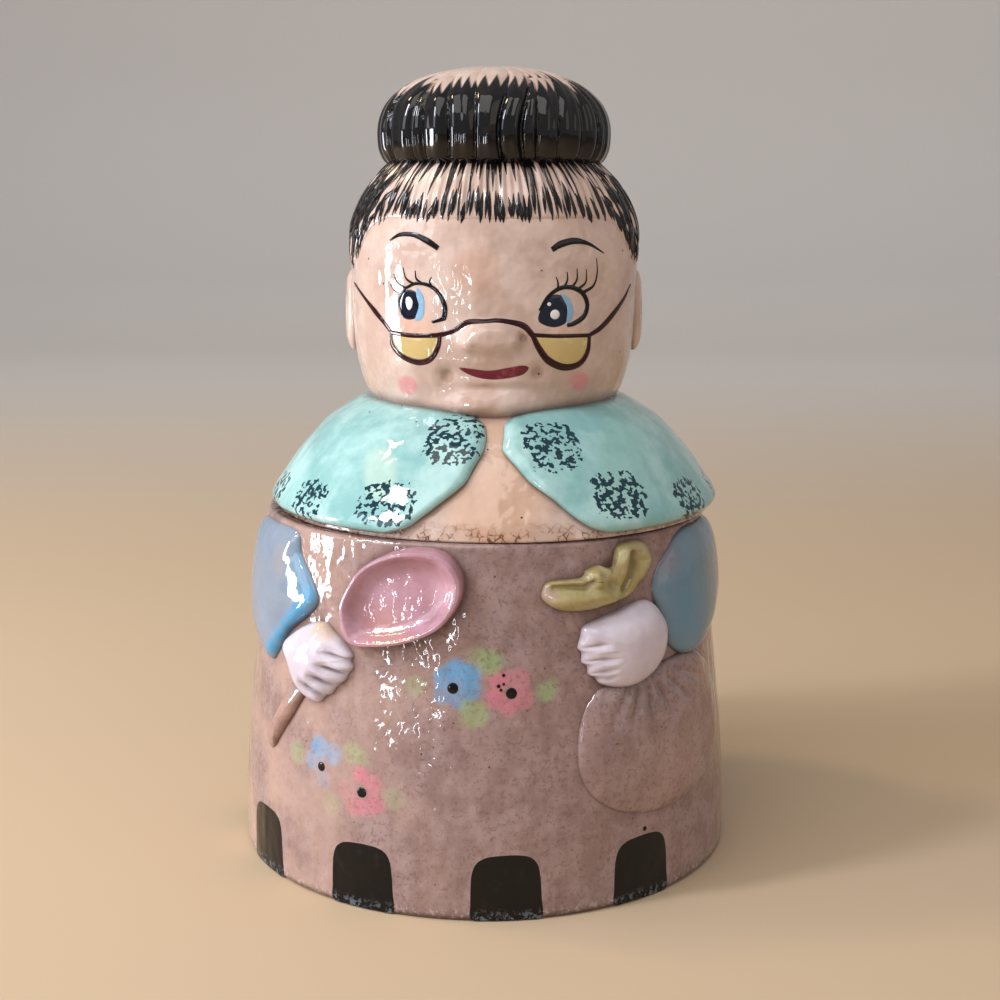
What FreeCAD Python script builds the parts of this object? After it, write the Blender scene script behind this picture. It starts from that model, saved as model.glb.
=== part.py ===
import FreeCAD, Part
import math
import os

from FreeCAD import Vector

# A ceramic kitchen jar for bacon grease, shaped as a granny: her skirt is the jar, her head and cape
# are the lid, and an aluminium strainer hangs in the mouth under the lid.
# Millimetres. +Z is up, -Y is the front that she faces, and the origin is the middle of the foot.
# An angle round the figure is in degrees from the front, positive towards +X.

# The jar
JAR_HEIGHT = 78.0
WALL_PROFILE = [(56.2, 1.4), (56.0, 12.0), (54.8, 28.0), (52.6, 48.0), (50.6, 66.0), (49.4, 76.8)]
FOOT_RADIUS = 55.0
FOOT_RECESS_RADIUS = 46.5
FOOT_RECESS_DEPTH = 1.5
WALL_THICKNESS = 4.8
FLOOR_HEIGHT = 5.0
FLOOR_FILLET = 6.0
MOUTH_RADIUS = 45.2
LEDGE_HEIGHT = 74.0
LEDGE_RADIUS = 41.2
LEDGE_BOTTOM = 70.5
RIM_ROUNDING = 1.2

# The strainer
SHEET = 0.8
FLANGE_RADIUS = 44.6
CUP_TOP_RADIUS = 40.4
CUP_BOTTOM_RADIUS = 36.0
CUP_DEPTH = 22.0
CUP_FILLET = 4.0
HOLE_RADIUS = 1.5
HOLE_PITCH = 8.0
HOLE_RINGS = 3

# The lid, which sits a little to one side in its loose seat
LID_SHIFT = 2.0
SEAT_HEIGHT = 78.2
RING_OUTER_RADIUS = 42.6
RING_INNER_RADIUS = 39.6
RING_BOTTOM = 75.2
RING_ROUNDING = 0.8
CHEST_PROFILE = [(48.6, 78.2), (47.6, 81.2), (45.5, 84.5), (42.6, 88.6), (38.3, 93.5), (34.6, 97.0),
                 (30.2, 99.8), (26.6, 102.0)]
NECK_HEIGHT = CHEST_PROFILE[-1][1]
CHEST_HOLLOW = [(39.6, 79.6), (40.4, 83.0), (38.4, 88.0), (34.2, 92.6), (29.4, 96.2), (24.6, 99.0)]
HOLLOW_NECK_RADIUS = 21.4
COLLAR_PROFILE = [(50.9, 79.4), (49.8, 81.8), (47.6, 85.0), (44.8, 89.0), (40.6, 93.9), (36.8, 97.6),
                  (32.4, 100.4), (28.9, 102.3)]

# The head: half-width, half-depth and height of its oval sections
HEAD_SECTIONS = [(25.5, 23.5, 100.0), (28.2, 26.3, 104.0), (30.2, 28.4, 110.0), (31.2, 29.4, 118.0),
                 (31.5, 29.6, 126.0), (31.4, 29.4, 134.0), (30.2, 28.2, 141.0), (27.2, 25.6, 147.0),
                 (23.0, 21.8, 152.0), (18.0, 17.0, 156.0)]
HEAD_WALL = 4.5
HAIR_THICKNESS = 1.1
EAR_MIDDLE = Vector(31.2, 0.5, 121.0)
EAR_HALF_SIZE = Vector(2.7, 4.4, 9.2)
# Features of the face: middle and half-size
NOSE = (Vector(-0.9, -28.4, 116.8), Vector(6.2, 3.8, 3.5))
CHIN = (Vector(-0.9, -23.4, 105.2), Vector(8.0, 4.4, 4.4))
CHEEKS = [(Vector(-15.5, -20.4, 111.5), Vector(11.0, 5.4, 8.5)),
          (Vector(14.5, -20.6, 111.5), Vector(11.0, 5.4, 8.5))]

# The bun: middle radius, height and depth of the grooves between its locks
BUN_SECTIONS = [(22.6, 152.2, 0.2), (24.4, 154.6, 0.6), (25.1, 157.6, 0.8), (25.0, 161.0, 0.8),
                (23.6, 164.4, 0.8), (20.2, 167.8, 0.7), (14.8, 170.6, 0.4), (8.6, 172.2, 0.15),
                (3.0, 172.85, 0.0)]
BUN_LOCKS = 28
BUN_HOLLOW = (Vector(0, 0, 161.5), Vector(19.5, 19.5, 6.8))
CROWN_HOLE_RADIUS = 9.0

# How far a relief's edge and its back lie under the wall that carries it
EDGE_DEPTH = 0.7
BACK_DEPTH = 3.0


def line(start, end):
    return Part.LineSegment(start, end).toShape()


def arc(start, middle, end):
    return Part.Arc(start, middle, end).toShape()


def smooth(points):
    curve = Part.BSplineCurve()
    curve.interpolate(points)
    return curve.toShape()


def section(radius, height):
    """A point of a profile that is turned round the Z axis."""
    return Vector(radius, 0, height)


def turned(edges):
    face = Part.Face(Part.Wire(edges))
    return face.revolve(Vector(0, 0, 0), Vector(0, 0, 1), 360)


def polygon(points):
    closed = points + points[:1]
    return [line(closed[i], closed[i + 1]) for i in range(len(points))]


def wall_radius(height):
    """Outer radius of the jar at a height."""
    for (low_r, low_z), (high_r, high_z) in zip(WALL_PROFILE, WALL_PROFILE[1:]):
        if height <= high_z:
            share = max(0.0, (height - low_z) / (high_z - low_z))
            return low_r + share * (high_r - low_r)
    return WALL_PROFILE[-1][0]


def on_wall(angle, height, out):
    """A point that stands out of the jar's wall by the distance given."""
    turn = math.radians(angle)
    radius = wall_radius(height) + out
    return Vector(radius * math.sin(turn), -radius * math.cos(turn), height)


def wall_outside():
    """Edges of the jar's outside, from the middle of the foot up to the rim's top."""
    foot = FOOT_RECESS_RADIUS
    last = WALL_PROFILE[-1]
    return [
        line(section(0, FOOT_RECESS_DEPTH), section(foot, FOOT_RECESS_DEPTH)),
        line(section(foot, FOOT_RECESS_DEPTH), section(foot + 1.0, 0)),
        line(section(foot + 1.0, 0), section(FOOT_RADIUS, 0)),
        arc(section(FOOT_RADIUS, 0), section(55.95, 0.5), section(*WALL_PROFILE[0])),
        smooth([section(r, z) for r, z in WALL_PROFILE]),
        arc(section(*last), section(49.0, 77.65), section(last[0] - RIM_ROUNDING, JAR_HEIGHT)),
    ]


def make_wall_core():
    """The jar's outside as one solid, which the reliefs are cut with so that they seat on it."""
    rim = WALL_PROFILE[-1][0] - RIM_ROUNDING
    closing = [
        line(section(rim, JAR_HEIGHT), section(0, JAR_HEIGHT)),
        line(section(0, JAR_HEIGHT), section(0, FOOT_RECESS_DEPTH)),
    ]
    return turned(wall_outside() + closing)


def make_jar_body():
    rim = WALL_PROFILE[-1][0] - RIM_ROUNDING
    mouth = MOUTH_RADIUS
    inner_wall = [(r - WALL_THICKNESS, z) for r, z in WALL_PROFILE[1:5]]
    floor_corner = inner_wall[0][0]
    inner_wall[0] = (floor_corner, FLOOR_HEIGHT + FLOOR_FILLET)
    inner_wall[-1] = (inner_wall[-1][0], 64.0)
    corner_middle = section(floor_corner - FLOOR_FILLET * (1 - math.sqrt(0.5)),
                            FLOOR_HEIGHT + FLOOR_FILLET * (1 - math.sqrt(0.5)))
    inside = [
        line(section(rim, JAR_HEIGHT), section(mouth + 1.0, JAR_HEIGHT)),
        arc(section(mouth + 1.0, JAR_HEIGHT), section(mouth + 0.3, JAR_HEIGHT - 0.3),
            section(mouth, JAR_HEIGHT - 1.0)),
        line(section(mouth, JAR_HEIGHT - 1.0), section(mouth, LEDGE_HEIGHT)),
        line(section(mouth, LEDGE_HEIGHT), section(LEDGE_RADIUS + 1.0, LEDGE_HEIGHT)),
        arc(section(LEDGE_RADIUS + 1.0, LEDGE_HEIGHT), section(LEDGE_RADIUS + 0.3, LEDGE_HEIGHT - 0.3),
            section(LEDGE_RADIUS, LEDGE_HEIGHT - 1.0)),
        line(section(LEDGE_RADIUS, LEDGE_HEIGHT - 1.0), section(LEDGE_RADIUS, LEDGE_BOTTOM)),
        line(section(LEDGE_RADIUS, LEDGE_BOTTOM), section(*inner_wall[-1])),
        smooth([section(r, z) for r, z in reversed(inner_wall)]),
        arc(section(*inner_wall[0]), corner_middle, section(floor_corner - FLOOR_FILLET, FLOOR_HEIGHT)),
        line(section(floor_corner - FLOOR_FILLET, FLOOR_HEIGHT), section(0, FLOOR_HEIGHT)),
        line(section(0, FLOOR_HEIGHT), section(0, FOOT_RECESS_DEPTH)),
    ]
    return turned(wall_outside() + inside)


def swell(share, fullness):
    """Height of a relief across its width, from 0 at an edge (share -1 or 1) to 1 in the middle.
    A fullness of 2 is a round back, and more is flatter with steeper sides."""
    return max(0.0, 1 - abs(share) ** fullness) ** (1 / fullness)


def across(points_across=9):
    return [-math.cos(math.pi * i / (points_across - 1)) for i in range(points_across)]


def relief(levels, fullness, core):
    """A form modelled on the wall, from level sections: height, left angle, right angle, stand-out."""
    wires = []
    for height, left, right, out in levels:
        middle = (left + right) / 2
        half = (right - left) / 2
        front = [on_wall(middle + half * share, height, out * swell(share, fullness) - EDGE_DEPTH)
                 for share in across()]
        back = arc(front[-1], on_wall(middle, height, -BACK_DEPTH), front[0])
        wires.append(Part.Wire([smooth(front), back]))
    return Part.makeLoft(wires, True, False).cut(core)


def ribbon(levels, fullness, core):
    """A form that runs round the wall, from upright sections: angle, low edge, high edge, stand-out."""
    wires = []
    for angle, low, high, out in levels:
        middle = (low + high) / 2
        half = (high - low) / 2
        front = [on_wall(angle, middle + half * share, out * swell(share, fullness) - EDGE_DEPTH)
                 for share in across()]
        back = arc(front[-1], on_wall(angle, middle, -BACK_DEPTH), front[0])
        wires.append(Part.Wire([smooth(front), back]))
    return Part.makeLoft(wires, True, False).cut(core)


def hollow(levels):
    """A dish to cut from a relief, from level sections: height, left angle, right angle, edge, middle."""
    wires = []
    for height, left, right, edge, deep in levels:
        middle = (left + right) / 2
        dish = arc(on_wall(left, height, edge), on_wall(middle, height, deep), on_wall(right, height, edge))
        outside = arc(on_wall(right, height, edge), on_wall(middle, height, 12.0),
                      on_wall(left, height, edge))
        wires.append(Part.Wire([dish, outside]))
    return Part.makeLoft(wires, True, False)


def finger(start, end, radius):
    """A round-ended rod between two places on the wall: angle, height and stand-out of its middle."""
    first = on_wall(*start)
    last = on_wall(*end)
    rod = Part.makeCylinder(radius, (last - first).Length, first, last - first)
    return rod.fuse([Part.makeSphere(radius, first), Part.makeSphere(radius, last)])


def make_right_sleeve(core):
    return relief([
        (77.0, -79, -53, 0.9),
        (72.0, -86, -49, 2.8),
        (66.0, -90, -45, 3.4),
        (61.0, -91, -43, 3.6),
        (56.0, -88, -49, 3.4),
        (51.5, -80, -56, 2.6),
        (47.5, -69, -62, 0.9),
    ], 2.2, core)


def make_left_sleeve(core):
    return relief([
        (77.0, 57, 82, 0.9),
        (73.5, 50, 88, 2.2),
        (69.0, 43.5, 91, 3.0),
        (63.0, 44.0, 92, 3.4),
        (57.5, 45.5, 88, 3.2),
        (53.5, 48.0, 76, 2.6),
        (50.0, 53.0, 61, 0.9),
    ], 2.2, core)


RIGHT_FINGERS = [
    ((-44, 56.0, 1.6), (-33.4, 55.2, 1.9)),
    ((-46, 53.0, 1.8), (-32.8, 51.4, 2.0)),
    ((-47, 50.5, 1.8), (-34.8, 47.6, 1.9)),
    ((-48, 48.0, 1.6), (-39.6, 45.0, 1.6)),
]
LEFT_FINGERS = [
    ((36, 58.6, 1.8), (23.6, 58.4, 1.8)),
    ((37, 56.0, 2.0), (23.8, 54.7, 1.9)),
    ((38, 53.4, 2.0), (26.0, 51.4, 1.8)),
    ((39, 51.2, 1.8), (30.0, 49.2, 1.6)),
]
FINGER_RADIUS = 2.5


def make_right_hand(core):
    palm = relief([
        (60.4, -48, -43, 1.2),
        (58.4, -52, -39, 3.8),
        (55.0, -54, -36, 4.8),
        (51.0, -53, -36, 5.0),
        (47.5, -52, -38, 4.6),
        (44.8, -50, -41, 3.4),
        (43.2, -48, -43, 1.2),
    ], 2.5, core)
    fingers = [finger(start, end, FINGER_RADIUS) for start, end in RIGHT_FINGERS]
    wrist = finger((-53, 59.0, 0.4), (-48, 56.0, 1.2), 3.2)
    return palm.fuse(fingers + [wrist])


def make_left_hand(core):
    palm = relief([
        (63.8, 37, 43, 1.2),
        (61.6, 29, 46, 4.0),
        (58.0, 27, 47, 5.0),
        (54.0, 27, 46.5, 5.2),
        (50.5, 29, 44, 4.6),
        (48.0, 32, 41, 3.2),
        (46.4, 34, 38, 1.2),
    ], 2.5, core)
    fingers = [finger(start, end, FINGER_RADIUS) for start, end in LEFT_FINGERS]
    thumb = finger((25.0, 60.6, 0.8), (36.0, 62.0, 1.4), 2.0)
    return palm.fuse(fingers + [thumb])


def make_spoon_bowl(core):
    egg = [
        (77.2, -18.0, -10.0, 1.6),
        (75.6, -23.0, -6.8, 3.2),
        (72.6, -28.6, -4.6, 3.8),
        (69.0, -31.6, -4.5, 4.0),
        (65.5, -33.4, -5.6, 4.0),
        (62.0, -34.0, -8.8, 4.0),
        (59.0, -33.2, -14.6, 3.8),
        (57.3, -32.0, -20.0, 3.2),
        (56.2, -30.0, -24.0, 1.6),
    ]
    dish = [
        (75.0, -18.5, -10.8, 2.9, 2.6),
        (73.0, -24.2, -8.6, 2.9, 1.6),
        (69.0, -28.2, -8.0, 2.9, 1.0),
        (65.5, -30.0, -9.2, 2.9, 0.9),
        (62.0, -30.4, -12.6, 2.9, 1.3),
        (59.4, -29.0, -18.4, 2.9, 2.3),
        (58.4, -27.0, -21.6, 2.9, 2.7),
    ]
    return relief(egg, 4.0, core).cut(hollow(dish))


def make_spoon_handle(core, hand):
    return relief([
        (43.8, -49.0, -44.0, 2.4),
        (41.0, -52.6, -46.8, 2.6),
        (36.0, -56.4, -50.6, 2.5),
        (31.0, -59.4, -54.0, 2.2),
        (28.4, -60.2, -56.2, 1.0),
    ], 2.2, core).cut(hand)


def make_bacon_rasher(core):
    return ribbon([
        (12.6, 66.6, 68.4, 0.9),
        (14.4, 65.2, 70.4, 2.4),
        (18.0, 64.1, 70.7, 3.0),
        (22.0, 64.2, 70.5, 2.2),
        (25.5, 64.5, 72.8, 3.3),
        (29.0, 65.0, 73.2, 2.4),
        (32.5, 65.6, 76.2, 3.3),
        (36.0, 66.4, 76.8, 2.3),
        (39.5, 69.2, 76.0, 3.2),
        (42.0, 71.6, 75.1, 2.2),
        (43.4, 72.8, 74.2, 0.9),
    ], 3.0, core)


def make_grease_sack(core, hand, sleeve):
    bag = relief([
        (50.0, 40, 57, 1.0),
        (47.0, 30, 62, 2.0),
        (44.0, 25.5, 65, 2.8),
        (40.0, 22.0, 68, 3.5),
        (34.0, 20.0, 70, 4.0),
        (28.0, 20.5, 70, 4.0),
        (23.0, 24.0, 66, 3.5),
        (19.6, 30.0, 58, 2.4),
        (17.6, 38.0, 49, 0.9),
    ], 2.8, core)
    return bag.cut([hand, sleeve])


def make_oval(half_width, half_depth, height):
    oval = Part.Ellipse(Vector(0, 0, height), half_width, half_depth)
    return Part.Wire(oval.toShape())


def make_head_block(grown=0.0, lifted=0.0):
    """The head's oval form, solid, or grown all round and lifted for the hair that lies on it."""
    wires = [make_oval(a + grown, b + grown, z + lifted) for a, b, z in HEAD_SECTIONS]
    return Part.makeLoft(wires, True, False)


def ellipsoid(middle, half_size):
    ball = Part.makeSphere(1.0)
    stretch = FreeCAD.Matrix()
    stretch.scale(half_size)
    stretch.move(middle)
    return ball.transformGeometry(stretch)


def make_shoulders():
    """The breast and shoulders, hollow, with the ring that drops into the jar's mouth."""
    first = CHEST_PROFILE[0]
    neck = CHEST_PROFILE[-1]
    inside = CHEST_HOLLOW[0]
    hollow_neck = section(HOLLOW_NECK_RADIUS, NECK_HEIGHT)
    return turned([
        line(section(*inside), section(RING_INNER_RADIUS, RING_BOTTOM + RING_ROUNDING)),
        arc(section(RING_INNER_RADIUS, RING_BOTTOM + RING_ROUNDING),
            section((RING_INNER_RADIUS + RING_OUTER_RADIUS) / 2, RING_BOTTOM),
            section(RING_OUTER_RADIUS, RING_BOTTOM + RING_ROUNDING)),
        line(section(RING_OUTER_RADIUS, RING_BOTTOM + RING_ROUNDING), section(RING_OUTER_RADIUS, SEAT_HEIGHT)),
        line(section(RING_OUTER_RADIUS, SEAT_HEIGHT), section(*first)),
        smooth([section(r, z) for r, z in CHEST_PROFILE]),
        line(section(*neck), hollow_neck),
        smooth([hollow_neck] + [section(r, z) for r, z in reversed(CHEST_HOLLOW)]),
    ])


def make_crown_hole():
    """The way through which the slip ran between the head and the bun."""
    return Part.makeCylinder(CROWN_HOLE_RADIUS, 15.0, Vector(0, 0, 147.0))


def make_head(block):
    """The hollow head, which stands on the neck, with nose, chin and full cheeks."""
    features = [ellipsoid(*feature) for feature in [NOSE, CHIN] + CHEEKS]
    wires = [make_oval(a - HEAD_WALL, b - HEAD_WALL, z) for a, b, z in HEAD_SECTIONS[:-1]]
    inside = Part.makeLoft(wires, True, False)
    below_neck = Part.makeBox(120, 120, 40, Vector(-60, -60, NECK_HEIGHT - 40))
    return block.fuse(features).cut([inside, make_crown_hole(), below_neck])


def make_cape_collar():
    """The cape collar: a turned shell over the chest, open in front between two curved edges."""
    bottom = COLLAR_PROFILE[0]
    top = COLLAR_PROFILE[-1]
    neck = CHEST_PROFILE[-1]
    shell = turned([
        smooth([section(r, z) for r, z in COLLAR_PROFILE]),
        arc(section(*top), section(27.4, 103.0), section(*neck)),
        smooth([section(r, z) for r, z in reversed(CHEST_PROFILE)]),
        line(section(*CHEST_PROFILE[0]), section(bottom[0] - 1.2, SEAT_HEIGHT)),
        arc(section(bottom[0] - 1.2, SEAT_HEIGHT), section(bottom[0] - 0.3, SEAT_HEIGHT + 0.35),
            section(*bottom)),
    ])
    side = [(1.7, 101.0), (1.8, 98.8), (2.1, 97.1), (3.0, 95.3), (4.6, 92.4), (7.6, 88.8), (12.0, 85.4),
            (17.4, 82.0), (22.4, 78.9), (25.5, 76.5)]
    right_edge = [Vector(x, 0, z) for x, z in side]
    left_edge = [Vector(-x, 0, z) for x, z in side]
    outline = Part.Wire([
        smooth(left_edge),
        line(left_edge[-1], right_edge[-1]),
        smooth(right_edge),
        line(right_edge[0], left_edge[0]),
    ])
    opening = Part.Face(outline).extrude(Vector(0, -70, 0))
    return shell.cut(opening)


def make_hair_cap(head_block):
    """Hair combed up over the skull, with a fringe line, sideburns before the ears and a low nape."""
    outside = make_head_block(HAIR_THICKNESS, 0.3)
    side_outline = [(-45, 141.2), (-19.5, 141.0), (-13.5, 136.0), (-8.0, 131.6), (-4.6, 131.4),
                    (-2.0, 134.0), (3.0, 133.4), (6.6, 128.0), (7.6, 116.0), (11.0, 106.0), (45, 104.0)]
    points = [Vector(0, y, z) for y, z in side_outline]
    outline = polygon(points + [Vector(0, 45, 160), Vector(0, -45, 160)])
    region = Part.Face(Part.Wire(outline)).extrude(Vector(90, 0, 0))
    region.translate(Vector(-45, 0, 0))
    return outside.common(region).cut([head_block, make_crown_hole()])


def make_hair_bun(head, hair):
    wires = []
    for middle, height, groove in BUN_SECTIONS:
        points = []
        steps = BUN_LOCKS * 4
        for i in range(steps):
            turn = 2 * math.pi * i / steps
            radius = middle + groove * (abs(math.cos(BUN_LOCKS * turn / 2)) - 0.5)
            points.append(Vector(radius * math.cos(turn), radius * math.sin(turn), height))
        curve = Part.BSplineCurve()
        curve.interpolate(points, PeriodicFlag=True)
        wires.append(Part.Wire(curve.toShape()))
    locks = Part.makeLoft(wires, True, False)
    return locks.cut([head, hair, ellipsoid(*BUN_HOLLOW), make_crown_hole()])


def make_ear(side, head):
    middle = Vector(side * EAR_MIDDLE.x, EAR_MIDDLE.y, EAR_MIDDLE.z)
    shell = ellipsoid(middle, EAR_HALF_SIZE)
    dent = ellipsoid(middle + Vector(side * 3.0, -1.6, 0.6), Vector(1.6, 2.2, 5.4))
    return shell.cut([dent, head])


def make_strainer():
    """A pressed cup with a flat flange, holes in rings over its bottom."""
    top = LEDGE_HEIGHT
    bottom = top - CUP_DEPTH
    inner_r = CUP_BOTTOM_RADIUS
    fillet = CUP_FILLET
    bend = math.sqrt(0.5)
    cup = turned([
        line(section(0, bottom), section(inner_r - fillet, bottom)),
        arc(section(inner_r - fillet, bottom),
            section(inner_r - fillet + fillet * bend, bottom + fillet - fillet * bend),
            section(inner_r, bottom + fillet)),
        line(section(inner_r, bottom + fillet), section(CUP_TOP_RADIUS, top)),
        line(section(CUP_TOP_RADIUS, top), section(FLANGE_RADIUS, top)),
        line(section(FLANGE_RADIUS, top), section(FLANGE_RADIUS, top + SHEET)),
        line(section(FLANGE_RADIUS, top + SHEET), section(CUP_TOP_RADIUS - SHEET, top + SHEET)),
        line(section(CUP_TOP_RADIUS - SHEET, top + SHEET), section(inner_r - SHEET, bottom + fillet)),
        arc(section(inner_r - SHEET, bottom + fillet),
            section(inner_r - fillet + (fillet - SHEET) * bend, bottom + fillet - (fillet - SHEET) * bend),
            section(inner_r - fillet, bottom + SHEET)),
        line(section(inner_r - fillet, bottom + SHEET), section(0, bottom + SHEET)),
        line(section(0, bottom + SHEET), section(0, bottom)),
    ])
    holes = [Part.makeCylinder(HOLE_RADIUS, 3.0, Vector(0, 0, bottom - 1.0))]
    for ring in range(1, HOLE_RINGS + 1):
        count = 6 * ring
        for i in range(count):
            turn = 2 * math.pi * i / count
            place = Vector(ring * HOLE_PITCH * math.cos(turn), ring * HOLE_PITCH * math.sin(turn),
                           bottom - 1.0)
            holes.append(Part.makeCylinder(HOLE_RADIUS, 3.0, place))
    return cup.cut(holes)


def write_node(name, shape):
    """Write the piece without the slivers that a cut can leave beside it."""
    solids = sorted(shape.removeSplitter().Solids, key=lambda solid: solid.Volume)
    piece = solids[-1]
    slivers = sum(solid.Volume for solid in solids[:-1])
    print(f"{name}: {piece.Volume / 1000:.2f} cm3, valid {piece.isValid()}, slivers {slivers:.2f} mm3")
    piece.exportStep(f"parts/{name}.step")


os.makedirs("parts", exist_ok=True)

core = make_wall_core()
right_hand = make_right_hand(core).cut(core)
left_hand = make_left_hand(core).cut(core)
right_sleeve = make_right_sleeve(core).cut(right_hand)
left_sleeve = make_left_sleeve(core).cut(left_hand)
spoon_bowl = make_spoon_bowl(core).cut(right_hand)

write_node("jar_body", make_jar_body())
write_node("right_sleeve", right_sleeve)
write_node("left_sleeve", left_sleeve)
write_node("right_hand", right_hand)
write_node("left_hand", left_hand)
write_node("spoon_bowl", spoon_bowl)
write_node("spoon_handle", make_spoon_handle(core, right_hand))
write_node("bacon_rasher", make_bacon_rasher(core).cut(left_hand))
write_node("grease_sack", make_grease_sack(core, left_hand, left_sleeve))

head_block = make_head_block()
head = make_head(head_block)
hair_cap = make_hair_cap(head_block)
lid_nodes = {
    "head": head,
    "shoulders": make_shoulders(),
    "cape_collar": make_cape_collar().cut(head),
    "hair_cap": hair_cap,
    "hair_bun": make_hair_bun(head_block, hair_cap),
    "right_ear": make_ear(-1, head_block),
    "left_ear": make_ear(1, head_block),
}
for name, shape in lid_nodes.items():
    shape.translate(Vector(LID_SHIFT, 0, 0))
    write_node(name, shape)

write_node("strainer", make_strainer())
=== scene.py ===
import math

import bmesh
import bpy
import numpy as np
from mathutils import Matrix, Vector


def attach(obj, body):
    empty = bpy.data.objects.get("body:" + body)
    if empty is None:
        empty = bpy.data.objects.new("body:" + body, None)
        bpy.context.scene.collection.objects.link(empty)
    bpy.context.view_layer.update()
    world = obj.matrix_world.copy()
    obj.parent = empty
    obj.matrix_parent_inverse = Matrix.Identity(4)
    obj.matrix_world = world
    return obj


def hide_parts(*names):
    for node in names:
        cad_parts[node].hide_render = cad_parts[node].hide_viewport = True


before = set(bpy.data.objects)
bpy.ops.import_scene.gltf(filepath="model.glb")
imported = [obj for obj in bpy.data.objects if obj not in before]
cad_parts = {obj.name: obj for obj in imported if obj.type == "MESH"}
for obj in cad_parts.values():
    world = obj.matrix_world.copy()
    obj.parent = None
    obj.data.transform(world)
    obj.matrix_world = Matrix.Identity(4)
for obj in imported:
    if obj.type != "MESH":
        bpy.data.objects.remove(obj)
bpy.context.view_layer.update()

# The jar: a slip-cast earthenware pot shaped as her skirt, with a foot ring, a plain rim and a ledge
# inside for the strainer. The outside is sprayed with mauve underglaze, airbrushed with flowers, and
# dipped in clear glaze; the inside shows the cream body through the glaze.
MM = 0.001
WELD_MM = 0.002
WALL_HEIGHTS = [1.4, 12.0, 28.0, 48.0, 66.0, 76.8]
WALL_RADII = [56.2, 56.0, 54.8, 52.6, 50.6, 49.4]
INNER_HEIGHTS = [11.0, 28.0, 48.0, 64.0]
INNER_RADII = [51.2, 50.0, 47.8, 45.8]


def smooth_line(knots, values, at):
    """A smooth curve through a few measured points, read at the places given."""
    knots = np.asarray(knots, float)
    values = np.asarray(values, float)
    at = np.asarray(at, float)
    slopes = np.gradient(values, knots)
    i = np.clip(np.searchsorted(knots, at) - 1, 0, len(knots) - 2)
    span = knots[i + 1] - knots[i]
    t = np.clip((at - knots[i]) / span, 0, 1)
    return ((1 + 2 * t) * (1 - t) ** 2 * values[i] + t * (1 - t) ** 2 * span * slopes[i]
            + t * t * (3 - 2 * t) * values[i + 1] + t * t * (t - 1) * span * slopes[i + 1])


def step(low, high, value):
    """0 below low, 1 above high, and a soft ramp between."""
    t = np.clip((value - low) / (high - low), 0, 1)
    return t * t * (3 - 2 * t)


def wall_radius(height):
    return smooth_line(WALL_HEIGHTS, WALL_RADII, height)


def around(turn, radius, height, shift=0.0):
    """Points in millimetres from an angle in radians, zero in front and growing towards +X, a radius and
    a height, about an axis that may stand to one side."""
    turn, radius, height = np.broadcast_arrays(turn, radius, height)
    return np.stack([shift + radius * np.sin(turn), -radius * np.cos(turn), height], axis=-1)


def on_wall(angle, height, out=0.0):
    """Points on the skirt: degrees from the front towards +X, height and stand-out in millimetres."""
    return around(np.radians(angle), wall_radius(height) + out, height)


def corner(centre, radius, start, end, count=5):
    """Points round a small rounding of a profile, between two directions in degrees."""
    turn = np.radians(np.linspace(start, end, count))
    return np.stack([centre[0] + radius * np.cos(turn), centre[1] + radius * np.sin(turn)], axis=1)


def clay(name, stacks, material, **fields):
    """A piece of closed forms, each a stack of rings of points in millimetres, with fields for its glaze."""
    stacks = stacks if isinstance(stacks, list) else [stacks]
    points, quads, first = [], [], 0
    for rings in stacks:
        rows, columns = rings.shape[:2]
        here = first + np.arange(rows * columns).reshape(rows, columns)
        beside = np.roll(here, -1, axis=1)
        quads.append(np.stack([here[:-1], beside[:-1], beside[1:], here[1:]], axis=-1).reshape(-1, 4))
        points.append(rings.reshape(-1, 3))
        first += rows * columns
    mesh = bpy.data.meshes.new(name)
    mesh.from_pydata((np.concatenate(points) * MM).tolist(), [], np.concatenate(quads).tolist())
    for field, values in fields.items():
        kind, entry = ("FLOAT_COLOR", "color") if values.ndim == 3 else ("FLOAT", "value")
        layer = mesh.attributes.new(field, kind, "POINT")
        layer.data.foreach_set(entry, values.astype(np.float32).ravel())
    form = bmesh.new()
    form.from_mesh(mesh)
    bmesh.ops.remove_doubles(form, verts=form.verts, dist=WELD_MM * MM)
    bmesh.ops.recalc_face_normals(form, faces=form.faces)
    form.to_mesh(mesh)
    form.free()
    mesh.polygons.foreach_set("use_smooth", [True] * len(mesh.polygons))
    mesh.materials.append(material)
    piece = bpy.data.objects.new(name, mesh)
    bpy.context.scene.collection.objects.link(piece)
    return piece


def rgb(hexcode):
    """A linear colour from the sRGB hex value read off the piece."""
    parts = [int(hexcode[i:i + 2], 16) / 255 for i in (1, 3, 5)]
    return tuple(c / 12.92 if c < 0.04045 else ((c + 0.055) / 1.055) ** 2.4 for c in parts) + (1.0,)


def put(tree, kind, inputs=None, **settings):
    """Add one node with its settings. Each input is a value, a socket to link, or a node, which stands for
    its first output in use."""
    made = tree.nodes.new(kind)
    for name, value in settings.items():
        setattr(made, name, value)
    for name, value in (inputs or {}).items():
        if isinstance(value, bpy.types.Node):
            value = next(output for output in value.outputs if output.enabled)
        if isinstance(value, bpy.types.NodeSocket):
            tree.links.new(value, made.inputs[name])
        else:
            made.inputs[name].default_value = value
    return made


# A Mix node's inputs go by number, because its number and colour inputs share their names.
SHARE, UNDER, OVER = 0, 6, 7


def patches(tree, place, size_mm, low, high, detail=2.0, roughness=0.5):
    """Soft-edged patches of about a size: 0 where the noise is under low, and 1 where it is over high."""
    noise = put(tree, "ShaderNodeTexNoise", {
        "Vector": place, "Scale": 1 / (size_mm * MM), "Detail": detail, "Roughness": roughness})
    return put(tree, "ShaderNodeMapRange", {"Value": noise, "From Min": low, "From Max": high},
               interpolation_type="SMOOTHSTEP")


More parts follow.
